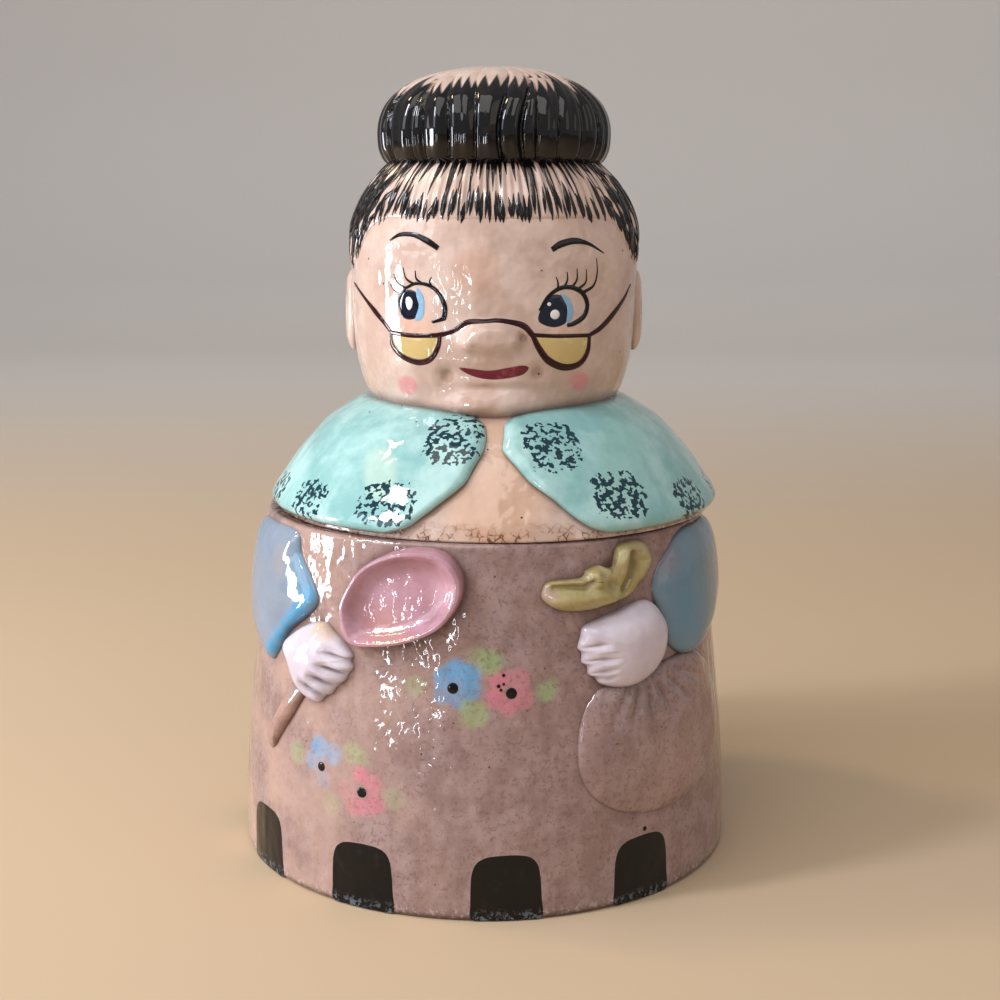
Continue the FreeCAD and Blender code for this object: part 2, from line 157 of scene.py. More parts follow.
def spots(tree, place, spacing_mm, radius_mm, share):
    """Round specks of one size, on a share of the cells of a random lattice."""
    cells = put(tree, "ShaderNodeTexVoronoi", {"Vector": place, "Scale": 1 / (spacing_mm * MM)})
    edge = radius_mm / spacing_mm
    dot = put(tree, "ShaderNodeMapRange", {
        "Value": cells.outputs["Distance"], "From Min": edge * 1.15, "From Max": edge * 0.75},
        interpolation_type="SMOOTHSTEP")
    chance = put(tree, "ShaderNodeSeparateColor", {"Color": cells.outputs["Color"]})
    picked = put(tree, "ShaderNodeMath", {0: chance, 1: share}, operation="LESS_THAN")
    return put(tree, "ShaderNodeMath", {0: dot, 1: picked}, operation="MULTIPLY")


# Clear lead glaze over fired earthenware: a glassy skin about 0.2 mm thick, so it mirrors the window
# sharply, in broken streaks, because the skin pools, ripples and holds a few pinholes.
GLAZE_IOR = 1.54
RUN_MM = 5.0
RIPPLE_MM = 2.6
PEEL_MM = 0.9
POOL_AND_SHADE_MM = 3.0
PINHOLE_SPACING_MM, PINHOLE_RADIUS_MM, PINHOLE_SHARE, PINHOLE_DEPTH_MM = 5.5, 0.22, 0.35, 0.05


def glazed(name, paint, roughness=0.06, runs=0.35, ripple=0.1, peel=0.008, pool_and_shade=0.6, gloss=0.5):
    """A glazed finish: paint(tree, place) gives the colour under the glaze; creases and gaps between parts
    are darkened by occlusion, partly as glaze that pools there and partly as painted shade.
    """
    material = bpy.data.materials.new(name)
    material.use_nodes = True
    tree = material.node_tree
    tree.nodes.clear()
    place = put(tree, "ShaderNodeTexCoord").outputs["Object"]
    # Painted shade: ambient occlusion darkens the colour towards brown in creases and between parts, standing
    # for glaze that pools there and for shade alike.
    occlusion_shade = put(tree, "ShaderNodeAmbientOcclusion", {"Distance": POOL_AND_SHADE_MM * MM}, samples=6)
    crease_shade = put(tree, "ShaderNodeMapRange", {
        "Value": occlusion_shade.outputs["AO"], "From Min": 0.96, "From Max": 0.5},
        interpolation_type="SMOOTHSTEP")
    depth = put(tree, "ShaderNodeMath", {0: crease_shade, 1: pool_and_shade}, operation="MULTIPLY")
    pooled_and_shaded = put(tree, "ShaderNodeMix", {SHARE: depth, UNDER: paint(tree, place), OVER: rgb("#7A5448")},
                 data_type="RGBA", blend_type="MULTIPLY")
    drawn_out = put(tree, "ShaderNodeMapping", {"Vector": place, "Scale": (1.0, 1.0, 0.4)})
    bumps = []
    for where, size_mm, stand_out in ((drawn_out, RUN_MM, runs), (place, RIPPLE_MM, ripple),
                                      (place, PEEL_MM, peel)):
        lumps = put(tree, "ShaderNodeTexNoise", {
            "Vector": where, "Scale": 1 / (size_mm * MM), "Detail": 1.0})
        bumps.append((lumps, stand_out, False))
    pinholes = spots(tree, place, PINHOLE_SPACING_MM, PINHOLE_RADIUS_MM, PINHOLE_SHARE)
    bumps.append((pinholes, PINHOLE_DEPTH_MM, True))
    normal = {}
    for height, distance, sunk in bumps:
        skin = put(tree, "ShaderNodeBump", {
            "Height": height, "Distance": distance * MM, "Strength": 1.0, **normal}, invert=sunk)
        normal = {"Normal": skin}
    shader = put(tree, "ShaderNodeBsdfPrincipled", {
        "Base Color": pooled_and_shaded, "IOR": GLAZE_IOR, "Roughness": roughness, "Specular IOR Level": gloss,
        **normal})
    put(tree, "ShaderNodeOutputMaterial", {"Surface": shader})
    return material


def undercoat(dark, light, lumps_mm=9.0, specks=0.3):
    """Sprayed underglaze between two strengths of its colour, with the airbrushed colours over it."""
    def paint(tree, place):
        strength = patches(tree, place, lumps_mm, 0.36, 0.66, 4.0, 0.65)
        coat = put(tree, "ShaderNodeMix", {SHARE: strength, UNDER: rgb(dark), OVER: rgb(light)},
                   data_type="RGBA")
        spray = put(tree, "ShaderNodeAttribute", attribute_name="spray")
        grain = put(tree, "ShaderNodeMapRange", {
            "Value": patches(tree, place, 0.8, 0.3, 0.7, 1.0), "To Min": 0.86, "To Max": 1.0})
        cover = put(tree, "ShaderNodeMath", {0: spray.outputs["Alpha"], 1: grain}, operation="MULTIPLY")
        coloured = put(tree, "ShaderNodeMix", {SHARE: cover, UNDER: coat, OVER: spray.outputs["Color"]},
                       data_type="RGBA")
        specked = spots(tree, place, 3.6, 0.24, specks)
        return put(tree, "ShaderNodeMix", {SHARE: specked, UNDER: coloured, OVER: rgb("#4A302A")},
                   data_type="RGBA")
    return paint


def foot_wear_and_glint(tree, place):
    """Share of crumbs just above the foot: colour rubbed away on the skirt, and a painted highlight on the
    black marks.
    """
    height = put(tree, "ShaderNodeSeparateXYZ", {"Vector": place}).outputs["Z"]
    low_down = put(tree, "ShaderNodeMapRange", {
        "Value": height, "From Min": 3.2 * MM, "From Max": 0.8 * MM}, interpolation_type="SMOOTHSTEP")
    crumbs = patches(tree, place, 1.1, 0.5, 0.6, 3.0, 0.7)
    return put(tree, "ShaderNodeMath", {0: low_down, 1: crumbs}, operation="MULTIPLY")


def wall_paint(tree, place):
    """Mauve spray in two strengths over a cream body, paler at her right towards the window: partly thinner
    spray, partly painted light.
    """
    coloured = undercoat("#8E7370", "#A38A88", 6.0, 0.6)(tree, place)
    mist = put(tree, "ShaderNodeMath", {0: patches(tree, place, 1.0, 0.5, 0.66, 3.0, 0.75), 1: 0.6},
               operation="MULTIPLY")
    misted = put(tree, "ShaderNodeMix", {SHARE: mist, UNDER: coloured, OVER: rgb("#75574F")},
                 data_type="RGBA")
    # Painted light: the skirt turns paler towards the window at her right, partly from thinner spray there.
    thin = put(tree, "ShaderNodeAttribute", attribute_name="thin").outputs["Fac"]
    thinned = put(tree, "ShaderNodeMath", {0: thin, 1: patches(tree, place, 14.0, 0.3, 0.7, 3.0)},
                  operation="MULTIPLY")
    worn_and_lit = put(tree, "ShaderNodeMix", {SHARE: thinned, UNDER: misted, OVER: rgb("#C0A092")},
               data_type="RGBA")
    wear_and_glint_share = put(tree, "ShaderNodeMath", {0: foot_wear_and_glint(tree, place), 1: 0.7}, operation="MULTIPLY")
    rubbed = put(tree, "ShaderNodeMix", {SHARE: wear_and_glint_share, UNDER: worn_and_lit, OVER: rgb("#D9CDC6")},
                 data_type="RGBA")
    coat = put(tree, "ShaderNodeAttribute", attribute_name="coat").outputs["Fac"]
    return put(tree, "ShaderNodeMix", {SHARE: coat, UNDER: rgb("#E3D3BD"), OVER: rubbed},
               data_type="RGBA")


# Airbrushed flowers and leaves: angle, height, radius in millimetres, colour and strength of each puff
# of colour. A stencil was held loosely, so their edges are soft.
SKY, ROSE, LEAF = "#2FA3DC", "#D4708A", "#90AE78"
PUFFS = [
    (-6.5, 52.4, 2.6, SKY, 0.95), (-3.6, 51.6, 2.6, SKY, 0.95), (-9.0, 51.0, 2.4, SKY, 0.85),
    (-3.4, 48.8, 2.4, SKY, 0.85), (-5.2, 46.8, 2.3, SKY, 0.7), (-9.2, 47.8, 2.2, SKY, 0.6),
    (3.0, 50.9, 2.3, ROSE, 0.9), (7.6, 50.7, 2.3, ROSE, 0.5), (2.2, 47.0, 2.2, ROSE, 0.8),
    (5.0, 45.2, 2.0, ROSE, 0.7), (8.4, 46.9, 2.3, ROSE, 0.6),
    (1.2, 54.3, 2.8, LEAF, 0.75), (-1.6, 55.6, 2.2, LEAF, 0.45), (-2.3, 43.8, 2.9, LEAF, 0.8),
    (-3.8, 45.2, 2.0, LEAF, 0.5), (-15.6, 49.0, 2.2, LEAF, 0.6), (13.6, 47.9, 2.1, LEAF, 0.75),
    (15.2, 49.6, 1.4, LEAF, 0.35),
    (-35.8, 32.0, 2.4, SKY, 0.95), (-39.6, 32.8, 2.6, SKY, 0.85), (-41.6, 29.6, 2.2, SKY, 0.6),
    (-38.4, 26.2, 2.2, SKY, 0.35),
    (-28.3, 29.2, 1.9, ROSE, 0.95), (-24.8, 27.6, 2.1, ROSE, 0.75), (-23.9, 23.8, 2.3, ROSE, 0.65),
    (-29.4, 22.4, 2.3, ROSE, 0.7), (-31.6, 25.4, 2.1, ROSE, 0.5), (-26.3, 22.2, 1.9, ROSE, 0.5),
    (-47.0, 30.0, 2.5, LEAF, 0.55), (-30.6, 33.4, 2.4, LEAF, 0.65), (-27.8, 32.8, 1.7, LEAF, 0.6),
    (-35.6, 21.4, 2.3, LEAF, 0.6), (-20.0, 25.2, 2.4, LEAF, 0.4),
]


def airbrush(puffs, across, height, core=0.7, reach=1.25):
    """Colour and cover that puffs of spray leave at each point of a surface laid flat in millimetres.
    A puff is solid within core times its radius, and gone beyond reach times its radius."""
    colour = np.zeros(across.shape + (4,))
    for puff_across, puff_height, radius, hexcode, strength in puffs:
        away = np.hypot(across - puff_across, height - puff_height)
        cover = strength * step(radius * reach, radius * core, away)
        fresh = np.array(rgb(hexcode)[:3])
        total = cover + colour[..., 3] * (1 - cover)
        share = np.where(total > 0, cover / np.maximum(total, 1e-6), 0)[..., None]
        colour[..., :3] = colour[..., :3] * (1 - share) + fresh * share
        colour[..., 3] = total
    return colour


MEAN_WALL_RADIUS = 53.5
ARC = math.radians(1) * MEAN_WALL_RADIUS
JAR_COLUMNS = 440
outer_z = np.linspace(WALL_HEIGHTS[0], WALL_HEIGHTS[-1], 100)
inner_z = np.linspace(INNER_HEIGHTS[-1], INNER_HEIGHTS[0], 20)
profile = np.concatenate([
    [(0.0, 1.5), (20.0, 1.5), (40.0, 1.5), (46.4, 1.5), (47.0, 0.7), (47.5, 0.05), (47.8, 0.0), (54.6, 0.0)],
    corner((54.9, 1.3), 1.3, -90, -10),
    np.stack([wall_radius(outer_z), outer_z], axis=1),
    corner((48.2, 76.8), 1.2, 10, 90),
    corner((46.2, 77.0), 1.0, 90, 180),
    [(45.2, 75.5), (45.2, 74.1), (45.1, 74.0), (43.5, 74.0)],
    corner((42.2, 73.0), 1.0, 90, 180),
    [(41.2, 71.5), (41.2, 70.6), (41.3, 70.4)],
    np.stack([smooth_line(INNER_HEIGHTS, INNER_RADII, inner_z), inner_z], axis=1),
    corner((45.2, 11.0), 6.0, -8, -90, 9),
    [(38.0, 5.0), (20.0, 5.0), (0.0, 5.0)],
])
angles = np.linspace(-180, 180, JAR_COLUMNS, endpoint=False)
facing, jar_height = np.broadcast_arrays(angles[None, :], profile[:, 1:])
FIRST_SPRAYED_ROW, SPRAYED_ROWS = 6, 113
outside = np.zeros(facing.shape)
outside[FIRST_SPRAYED_ROW:FIRST_SPRAYED_ROW + SPRAYED_ROWS] = 1.0
jar_rings = around(np.radians(facing), profile[:, :1], jar_height)
jar_spray = airbrush([(a * ARC, z, r, c, s) for a, z, r, c, s in PUFFS], facing * ARC, jar_height)
# Paler towards her right, where the window is: partly thinner spray, partly painted light.
jar_thin = step(20, -75, facing) * step(-180, -110, facing) * 0.8 + 0.12
wall_glaze = glazed("mauve_sprayed_earthenware", wall_paint, runs=0.7, ripple=0.24, pool_and_shade=0.75)
jar = clay("skirt_jar", jar_rings, wall_glaze, spray=jar_spray, coat=outside, thin=jar_thin)
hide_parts("jar_body")
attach(jar, "jar")


# The reliefs on the skirt: solid clay pressed in a mould or modelled, and stuck on with slip. Here the
# sleeves, rolled at the cuff. They are sprayed blue over the grey-mauve of the wall.
def closed_curve(points, count):
    """A smooth closed curve through the points, in steps of even length."""
    points = np.asarray(points, float)
    at = np.arange(len(points) * 24) / 24
    i = at.astype(int)
    f = (at - i)[:, None]
    a, b, c, d = (points[(i + shift) % len(points)] for shift in (-1, 0, 1, 2))
    curve = 0.5 * (2 * b + (c - a) * f + (2 * a - 5 * b + 4 * c - d) * f ** 2
                   + (3 * b - a - 3 * c + d) * f ** 3)
    curve = np.vstack([curve, curve[:1]])
    along = np.concatenate([[0], np.cumsum(np.linalg.norm(np.diff(curve, axis=0), axis=1))])
    even = np.linspace(0, along[-1], count, endpoint=False)
    return np.stack([np.interp(even, along, curve[:, k]) for k in range(points.shape[1])], axis=1)


def dome(t, fullness=2.6):
    """Height across a rounded form, 1 in its middle and 0 at its edge, fuller than a plain arch."""
    return np.sqrt(np.clip(1 - np.clip(t, 0, 1) ** fullness, 0, 1))


# How far a relief's edge is sunk in the wall and how deep its hidden root goes, in millimetres, and the
# share of a puff's radius that is solid on a relief.
EDGE_SINK, ROOT_DEPTH, RELIEF_CORE = 0.25, 0.9, 0.2


def sprig(name, outline, stand_out, material, puffs=(), columns=260, rows=44, reach=1.7, **fields):
    """A relief seated on the skirt: an outline of (degrees, height), and stand_out(p, t) in millimetres
    for flat places p, with t from 0 in the middle to 1 at the edge."""
    edge = closed_curve(np.asarray(outline, float) * [ARC, 1], columns)
    middle = edge.mean(axis=0)
    steps = np.concatenate([np.sin(np.linspace(0, math.pi / 2, rows)), [1.0, 0.5, 0.0]])
    t = np.repeat(steps[:, None], columns, axis=1)
    flat = middle + t[..., None] * (edge - middle)
    out = stand_out(flat, t) - EDGE_SINK
    out[rows:] = -ROOT_DEPTH
    rings = on_wall(flat[..., 0] / ARC, flat[..., 1], out)
    spray = airbrush([(a * ARC, z, r, c, s) for a, z, r, c, s in puffs], flat[..., 0], flat[..., 1],
                     RELIEF_CORE, reach)
    return clay(name, rings, material, spray=spray, **fields)


def nearness(flat, lines):
    """Distance in millimetres to lines of (degrees, height), and how far along each line that is."""
    nearest = np.full(flat.shape[:-1], 1e3)
    share = np.zeros(flat.shape[:-1])
    for line in lines:
        ends = np.asarray(line, float) * [ARC, 1]
        count = len(ends) - 1
        for k in range(count):
            run = ends[k + 1] - ends[k]
            along = np.clip(((flat - ends[k]) @ run) / (run @ run), 0, 1)
            away = np.linalg.norm(flat - ends[k] - along[..., None] * run, axis=-1)
            closer = away < nearest
            nearest = np.where(closer, away, nearest)
            share = np.where(closer, (k + along) / count, share)
    return nearest, share


sleeve_glaze = glazed("blue_sprayed_sleeve", undercoat("#7F8B99", "#98A1AC", 14.0, 0.12))
CUFF, STEEL = "#3F9CCB", "#5F93B4"
RIGHT_SLEEVE = [(-53, 76.6), (-50.4, 72.2), (-45.8, 68), (-43, 64.2), (-43.8, 61.6), (-47.6, 58.6),
                (-52.6, 55.4), (-57, 50.6), (-60, 47.6), (-63.6, 47.8), (-70, 49.4), (-77, 51.6),
                (-86, 56.2), (-90.6, 61.6), (-90, 67.4), (-86.4, 72.4), (-79, 76), (-66, 76.8)]
RIGHT_CUFF = [[(-44.6, 62.6), (-50.6, 58), (-56, 53), (-60.4, 49)]]
LEFT_SLEEVE = [(57, 76.6), (50.5, 73.6), (45.4, 70), (43.2, 66.4), (43.8, 62), (45.4, 57.4), (47.6, 53.4),
               (52.6, 50.2), (58, 49.7), (64, 50.9), (71, 52.7), (78, 55.7), (86, 59.2), (91.4, 64.2),
               (90.2, 69.8), (86, 73.8), (78, 76.4), (66, 76.8)]
LEFT_CUFF = [[(43.8, 64), (46, 57), (50, 52.2), (57, 50.4), (64, 51.6)]]


def right_sleeve_form(flat, t):
    away, along = nearness(flat, RIGHT_CUFF)
    return 3.1 * dome(t, 3.0) + 1.1 * np.exp(-(away / 1.7) ** 2) * dome(t, 6.0) * (1 - 0.5 * along)


def left_sleeve_form(flat, t):
    away = nearness(flat, LEFT_CUFF)[0]
    return 3.2 * dome(t, 3.0) + 0.35 * np.exp(-(away / 1.6) ** 2) * dome(t, 6.0)


right_sleeve = sprig("right_sleeve_relief", RIGHT_SLEEVE, right_sleeve_form, sleeve_glaze, [
    (-68, 64, 22.0, "#8292A8", 0.85), (-82, 64, 7.0, "#A49E98", 0.5), (-56, 70, 4.0, "#A79C96", 0.5),
    (-50, 71, 3.4, STEEL, 0.6), (-47, 67.4, 3.0, STEEL, 0.7), (-45.4, 64, 2.6, CUFF, 0.8),
    (-47.2, 61, 2.2, CUFF, 0.95), (-50, 58.8, 2.1, CUFF, 0.95), (-52.8, 56.4, 2.1, CUFF, 0.95),
    (-55.6, 53.8, 2.0, CUFF, 0.95), (-58.4, 51, 2.0, CUFF, 0.95), (-61.6, 48.6, 2.0, CUFF, 0.8)], reach=1.5)
left_sleeve = sprig("left_sleeve_relief", LEFT_SLEEVE, left_sleeve_form, sleeve_glaze, [
    (60, 62, 24.0, "#6B8799", 0.9), (48, 72, 4.0, "#8A7F88", 0.6), (54, 60, 7.0, "#5F8CA8", 0.8),
    (72, 66, 7.0, "#8C949C", 0.6), (73, 55.6, 3.4, "#C2B9A4", 0.5), (85, 66, 8.0, "#8C949C", 0.5)])
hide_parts("right_sleeve")
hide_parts("left_sleeve")
for sleeve in (right_sleeve, left_sleeve):
    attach(sleeve, "jar")

# The fists: modelled as puffy mitts with the fingers cut in by a tool, one round the spoon's handle and
# one round the neck of the sack. Pinkish white, with a bare cream edge at her right wrist.
hand_glaze = glazed("pinkish_white_hand", undercoat("#CFC3CF", "#DED5E0", 8.0, 0.1))
RIGHT_HAND = [(-53.4, 53), (-50.1, 55.8), (-45.1, 58.4), (-40.1, 59.4), (-37, 57.8), (-33.6, 55.8),
              (-31.2, 53.9), (-31.7, 52.6), (-30.9, 51.2), (-32.2, 49.7), (-33, 48.2), (-35.2, 46.7),
              (-36.6, 44.9), (-38.6, 44), (-40.2, 42.5), (-44.2, 43), (-47.6, 45.2), (-50.8, 49.4)]
RIGHT_FINGER_CUTS = [[(-38.6, 54.4), (-35, 53.6), (-31.2, 52.7)], [(-39.4, 51.6), (-36, 50.9), (-31.9, 49.8)],
                     [(-41.2, 49.2), (-38.6, 48.2), (-34.9, 46.8)], [(-44, 47.6), (-41.4, 46), (-38.4, 44)]]
LEFT_HAND = [(21.9, 58.4), (22.6, 60.4), (25, 61.4), (30.8, 62.8), (36.6, 64), (41.6, 63.8), (45, 61),
             (46.8, 57.4), (45.4, 52.8), (41.6, 49.2), (35.7, 47), (30.3, 47.1), (26.4, 48.4), (25.2, 49.8),
             (23.6, 50.7), (23.3, 52.4), (22, 53.4), (22.1, 55.2), (21.2, 56.4)]
LEFT_FINGER_CUTS = [[(28, 57.4), (25, 57), (21.4, 56.3)], [(29.8, 54.2), (26, 54.2), (22.3, 53.6)],
                    [(29.6, 52.2), (26.4, 51.6), (23.5, 50.8)], [(29.8, 50.4), (27.6, 49.8), (25.1, 49.7)]]
WRIST_CUT = [[(40.7, 63.5), (43.6, 60.8), (45, 58), (45.2, 55)]]


def fist_form(finger_cuts, deep):
    def form(flat, t):
        away, along = nearness(flat, finger_cuts)
        return 5.0 * dome(t, 2.4) - deep * np.exp(-away / 0.85) * step(0, 0.5, along) * dome(t, 5.0)
    return form


def left_fist_form(flat, t):
    wrist = nearness(flat, WRIST_CUT)[0]
    return fist_form(LEFT_FINGER_CUTS, 1.5)(flat, t) - 0.5 * np.exp(-wrist / 0.4) * dome(t, 5.0)


right_hand = sprig("right_fist", RIGHT_HAND, fist_form(RIGHT_FINGER_CUTS, 2.0), hand_glaze, [
    (-40, 59.2, 2.0, "#D8BC96", 0.8), (-37.4, 57.6, 1.5, "#D8BC96", 0.6), (-53, 53, 2.0, "#D8BC96", 0.5)])
left_hand = sprig("left_fist", LEFT_HAND, left_fist_form, hand_glaze, [
    (34, 55, 7.0, "#D2C2CC", 0.5), (40, 53, 5.0, "#C7B6BE", 0.4)])
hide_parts("right_hand")
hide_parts("left_hand")
for hand in (right_hand, left_hand):
    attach(hand, "jar")

# The spoon: a dished bowl with a raised rim, and the end of its handle below the fist. The bowl's pink
# glaze has crawled a little, so it mirrors the light in crumbs; the handle is sprayed like the skirt.
spoon_glaze = glazed("crawled_pink_glaze", undercoat("#A67A82", "#BE92A2", 7.0, 0.05), ripple=0.16,
                     peel=0.05)
SPOON = [(-33.8, 62.4), (-32.6, 67), (-28.5, 72.6), (-21.4, 76.2), (-14.1, 77.2), (-8.1, 76), (-4.8, 71.9),
         (-5.2, 66.9), (-9.1, 61.7), (-16, 58.3), (-24.5, 56.6), (-31.1, 56.9)]
DISH_T = [0.0, 0.35, 0.62, 0.76, 0.84, 0.91, 0.97, 1.0]
DISH_OUT = [0.9, 1.0, 1.4, 2.4, 3.6, 4.0, 2.9, 0.0]
HANDLE = [(-44.6, 45), (-47.6, 40), (-51.5, 35), (-55, 30.8), (-56.6, 28.8), (-58.6, 28.2), (-60, 29.6),
          (-59.2, 32), (-56.2, 36.4), (-52.8, 41), (-50, 45)]
spoon = sprig("spoon_bowl_dish", SPOON, lambda flat, t: smooth_line(DISH_T, DISH_OUT, t), spoon_glaze, [
    (-12, 71, 5.0, "#C08F9C", 0.6), (-9, 68, 3.0, "#DDB2BE", 0.6), (-22, 60.5, 5.0, "#C8938C", 0.7),
    (-24, 70, 5.0, "#C49BAE", 0.6), (-18, 66, 4.0, "#C79AA8", 0.5)], rows=56)
handle = sprig("spoon_handle_end", HANDLE, lambda flat, t: 2.3 * dome(t, 2.0), wall_glaze, [
    (-50, 38, 3.0, "#C19488", 0.6), (-55, 33, 3.0, "#B98C84", 0.5)], columns=120, rows=18,
    coat=np.ones((21, 120)), thin=np.full((21, 120), 0.5))
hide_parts("spoon_bowl")
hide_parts("spoon_handle")
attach(spoon, "jar")
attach(handle, "jar")

# The bacon rasher: a strip of clay bent in waves, with a raised fat edge, a hollow in the middle wave and a
# slot where the last one folds over. Olive yellow, darkened in the slot and the creases by glaze that pools
# there and by painted shade.
bacon_glaze = glazed("olive_yellow_glaze", undercoat("#A3935E", "#BFB285", 5.0, 0.06))
BACON = [(13, 68.4), (15, 70.3), (22.4, 70.5), (24.1, 71.9), (27.2, 72.7), (30.8, 71.9), (31.8, 74.3),
         (33, 76.3), (37.2, 77), (41.5, 75.9), (43.3, 73.2), (42.2, 70.5), (38.6, 68.2), (36.2, 66.2),
         (33.6, 65.2), (30.1, 64.6), (24.1, 63.8), (18.8, 64), (15.6, 64.9), (13.2, 66.6)]
BACON_GROOVE = [[(15.6, 69.2), (19.6, 69.1), (22.6, 68.8), (24.8, 69.8)]]
BACON_SLOT = [[(35.7, 74.4), (35.8, 72.1), (34.6, 69.6), (33, 67.6)]]
BACON_HUMPS = [[(16, 66.4), (21, 66.2), (26, 66.8), (30, 66)], [(25.4, 71.2), (26.2, 69.8)],
               [(32.8, 73.4), (34.6, 75.6), (38.6, 75.6), (40.6, 72.8), (38, 70)]]
BACON_PIT = (30.1, 68.8)


def bacon_form(flat, t):
    groove, slot, hump = (nearness(flat, lines)[0] for lines in (BACON_GROOVE, BACON_SLOT, BACON_HUMPS))
    pit = np.hypot(flat[..., 0] - BACON_PIT[0] * ARC, flat[..., 1] - BACON_PIT[1])
    dents = (0.9 * np.exp(-(groove / 0.7) ** 2) + 1.3 * np.exp(-(slot / 0.9) ** 2)
             + 1.0 * np.exp(-(pit / 1.5) ** 2))
    return (2.5 + 0.8 * np.exp(-(hump / 1.3) ** 2)) * dome(t, 6.0) - dents * dome(t, 9.0)


# Painted shade: the two dark olive puffs lie in the slot.
bacon = sprig("bacon_strip", BACON, bacon_form, bacon_glaze, [
    (14.2, 67.6, 1.8, "#B79C94", 0.7), (20, 66.4, 3.0, "#A39356", 0.4), (35.6, 72, 1.3, "#8E7F46", 0.6),
    (34, 68.6, 1.8, "#9A8A44", 0.7), (27, 66, 3.0, "#A49556", 0.5), (37, 76, 2.4, "#A89A78", 0.6)],
    columns=420)
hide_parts("bacon_rasher")
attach(bacon, "jar")

# The sack of grease: a soft bag drawn together under the left fist, with pleats running out of its neck. It
# is sprayed in the same mauve as the skirt, with small brown marks along its lower edge.
SACK = [(28, 48.2), (24, 45.4), (21.6, 41.5), (20.4, 36), (21, 29.6), (24.2, 24.6), (31, 20.6), (40.5, 19),
        (51, 19.6), (60.5, 22.4), (67.3, 27.8), (69.8, 34), (69.2, 40.4), (66, 45.6), (61, 49.4),
        (55, 50.8), (47, 50.4), (38, 49.6)]
PLEATS = [[(33, 47), (29, 42), (26, 36)], [(35.6, 46.4), (33, 41), (31.4, 35)],
          [(38.4, 46.2), (38.2, 40), (38, 34)], [(41.6, 46.6), (44, 41), (46, 36)],
          [(45, 47.4), (50, 43), (54.6, 38.6)], [(48, 48.6), (55, 46), (62, 42)]]


def sack_form(flat, t):
    away, along = nearness(flat, PLEATS)
    return 3.7 * dome(t, 2.5) - 0.9 * np.exp(-away / 0.8) * (1 - step(0.2, 1.0, along)) * dome(t, 5.0)


sack = sprig("grease_sack_relief", SACK, sack_form, wall_glaze, [
    (24, 40, 3.0, "#B2938C", 0.5), (58, 46, 4.0, "#B08C7C", 0.6), (66, 38, 4.0, "#A98A80", 0.5),
    (44, 26, 9.0, "#B79486", 0.35), (41.6, 20.2, 0.5, "#6E4C3A", 0.6), (44.8, 20.4, 0.7, "#6E4C3A", 0.6),
    (48, 20.8, 0.6, "#6E4C3A", 0.55), (51.4, 21.4, 0.6, "#6E4C3A", 0.6)], columns=320,
    coat=np.ones((47, 320)), thin=np.full((47, 320), 0.12))
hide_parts("grease_sack")
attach(sack, "jar")

# The black marks of the hem: ten arches and the flowers' middles, brushed on thickly in glossy black
# before the clear glaze, so that they stand up a little.
def brushed_colour(name, hexcode, edge, gloss=0.5):
    """Thick glossy colour brushed on, thinner and browner where the brush ran dry, with a painted bluish
    highlight in crumbs at the foot.
    """
    def paint(tree, place):
        dry = patches(tree, place, 2.2, 0.56, 0.74, 3.0)
        brushed = put(tree, "ShaderNodeMix", {SHARE: dry, UNDER: rgb(hexcode), OVER: rgb(edge)},
                      data_type="RGBA")
        # Painted highlight: bluish-grey crumbs near the foot stand for the shine along the arches' lower
        # edges.
        wear_and_glint_share = put(tree, "ShaderNodeMath", {0: foot_wear_and_glint(tree, place), 1: 0.55}, operation="MULTIPLY")
        return put(tree, "ShaderNodeMix", {SHARE: wear_and_glint_share, UNDER: brushed, OVER: rgb("#7F8C98")},
                   data_type="RGBA")
    return glazed(name, paint, roughness=0.05, pool_and_shade=0.0, gloss=gloss)


def pad(surface, outline, columns=96, rows=9, thick=0.16, buried=0.35):
    """A closed patch of thick colour on a surface: surface(across, up, out) gives its points."""
    edge = closed_curve(outline, columns)
    middle = edge.mean(axis=0)
    steps = np.concatenate([np.sin(np.linspace(0, math.pi / 2, rows)), [1.0, 0.0]])
    t = np.repeat(steps[:, None], columns, axis=1)
    flat = middle + t[..., None] * (edge - middle)
    out = thick * dome(t, 4.0)
    out[rows:] = -buried
    return surface(flat[..., 0], flat[..., 1], out)


def circle(across, up, radius):
    turn = np.linspace(0, 2 * math.pi, 14, endpoint=False)
    return np.stack([across + radius * np.cos(turn), up + radius * np.sin(turn)], axis=1)


black_paint = brushed_colour("hem_black", "#09080B", "#191416", gloss=0.3)
ARCH = [(-7.4, 0.6), (-7.5, 4), (-7.4, 8.4), (-7.1, 10.8), (-6.2, 12.8), (-4.2, 14), (-1, 14.4), (2.6, 14.4),
        (5.2, 13.8), (6.7, 12.2), (7.3, 9.6), (7.6, 5), (7.7, 0.6), (4, 0.35), (0, 0.3), (-4, 0.35)]
ARCH_FIRST, ARCH_SPACING, ARCH_COUNT = -250.8, 31.9, 10
FLOWER_DOTS = [(-7.1, 49, 1.15), (5.8, 48, 1.15), (-38.9, 28.8, 1.0), (-27.6, 25.4, 1.1), (4.1, 51.7, 0.35),
               (3.0, 49.5, 0.4), (4.1, 49.9, 0.3), (3.5, 48.7, 0.3), (37.1, 15.7, 0.5)]
arches = clay("hem_arches", pad(on_wall, ARCH, columns=120, rows=12, thick=0.04, buried=0.3), black_paint)
dots = clay("flower_middles", [pad(lambda a, z, out: on_wall(a / ARC, z, out), circle(a * ARC, z, r), 24, 5)
                               for a, z, r in FLOWER_DOTS], black_paint)


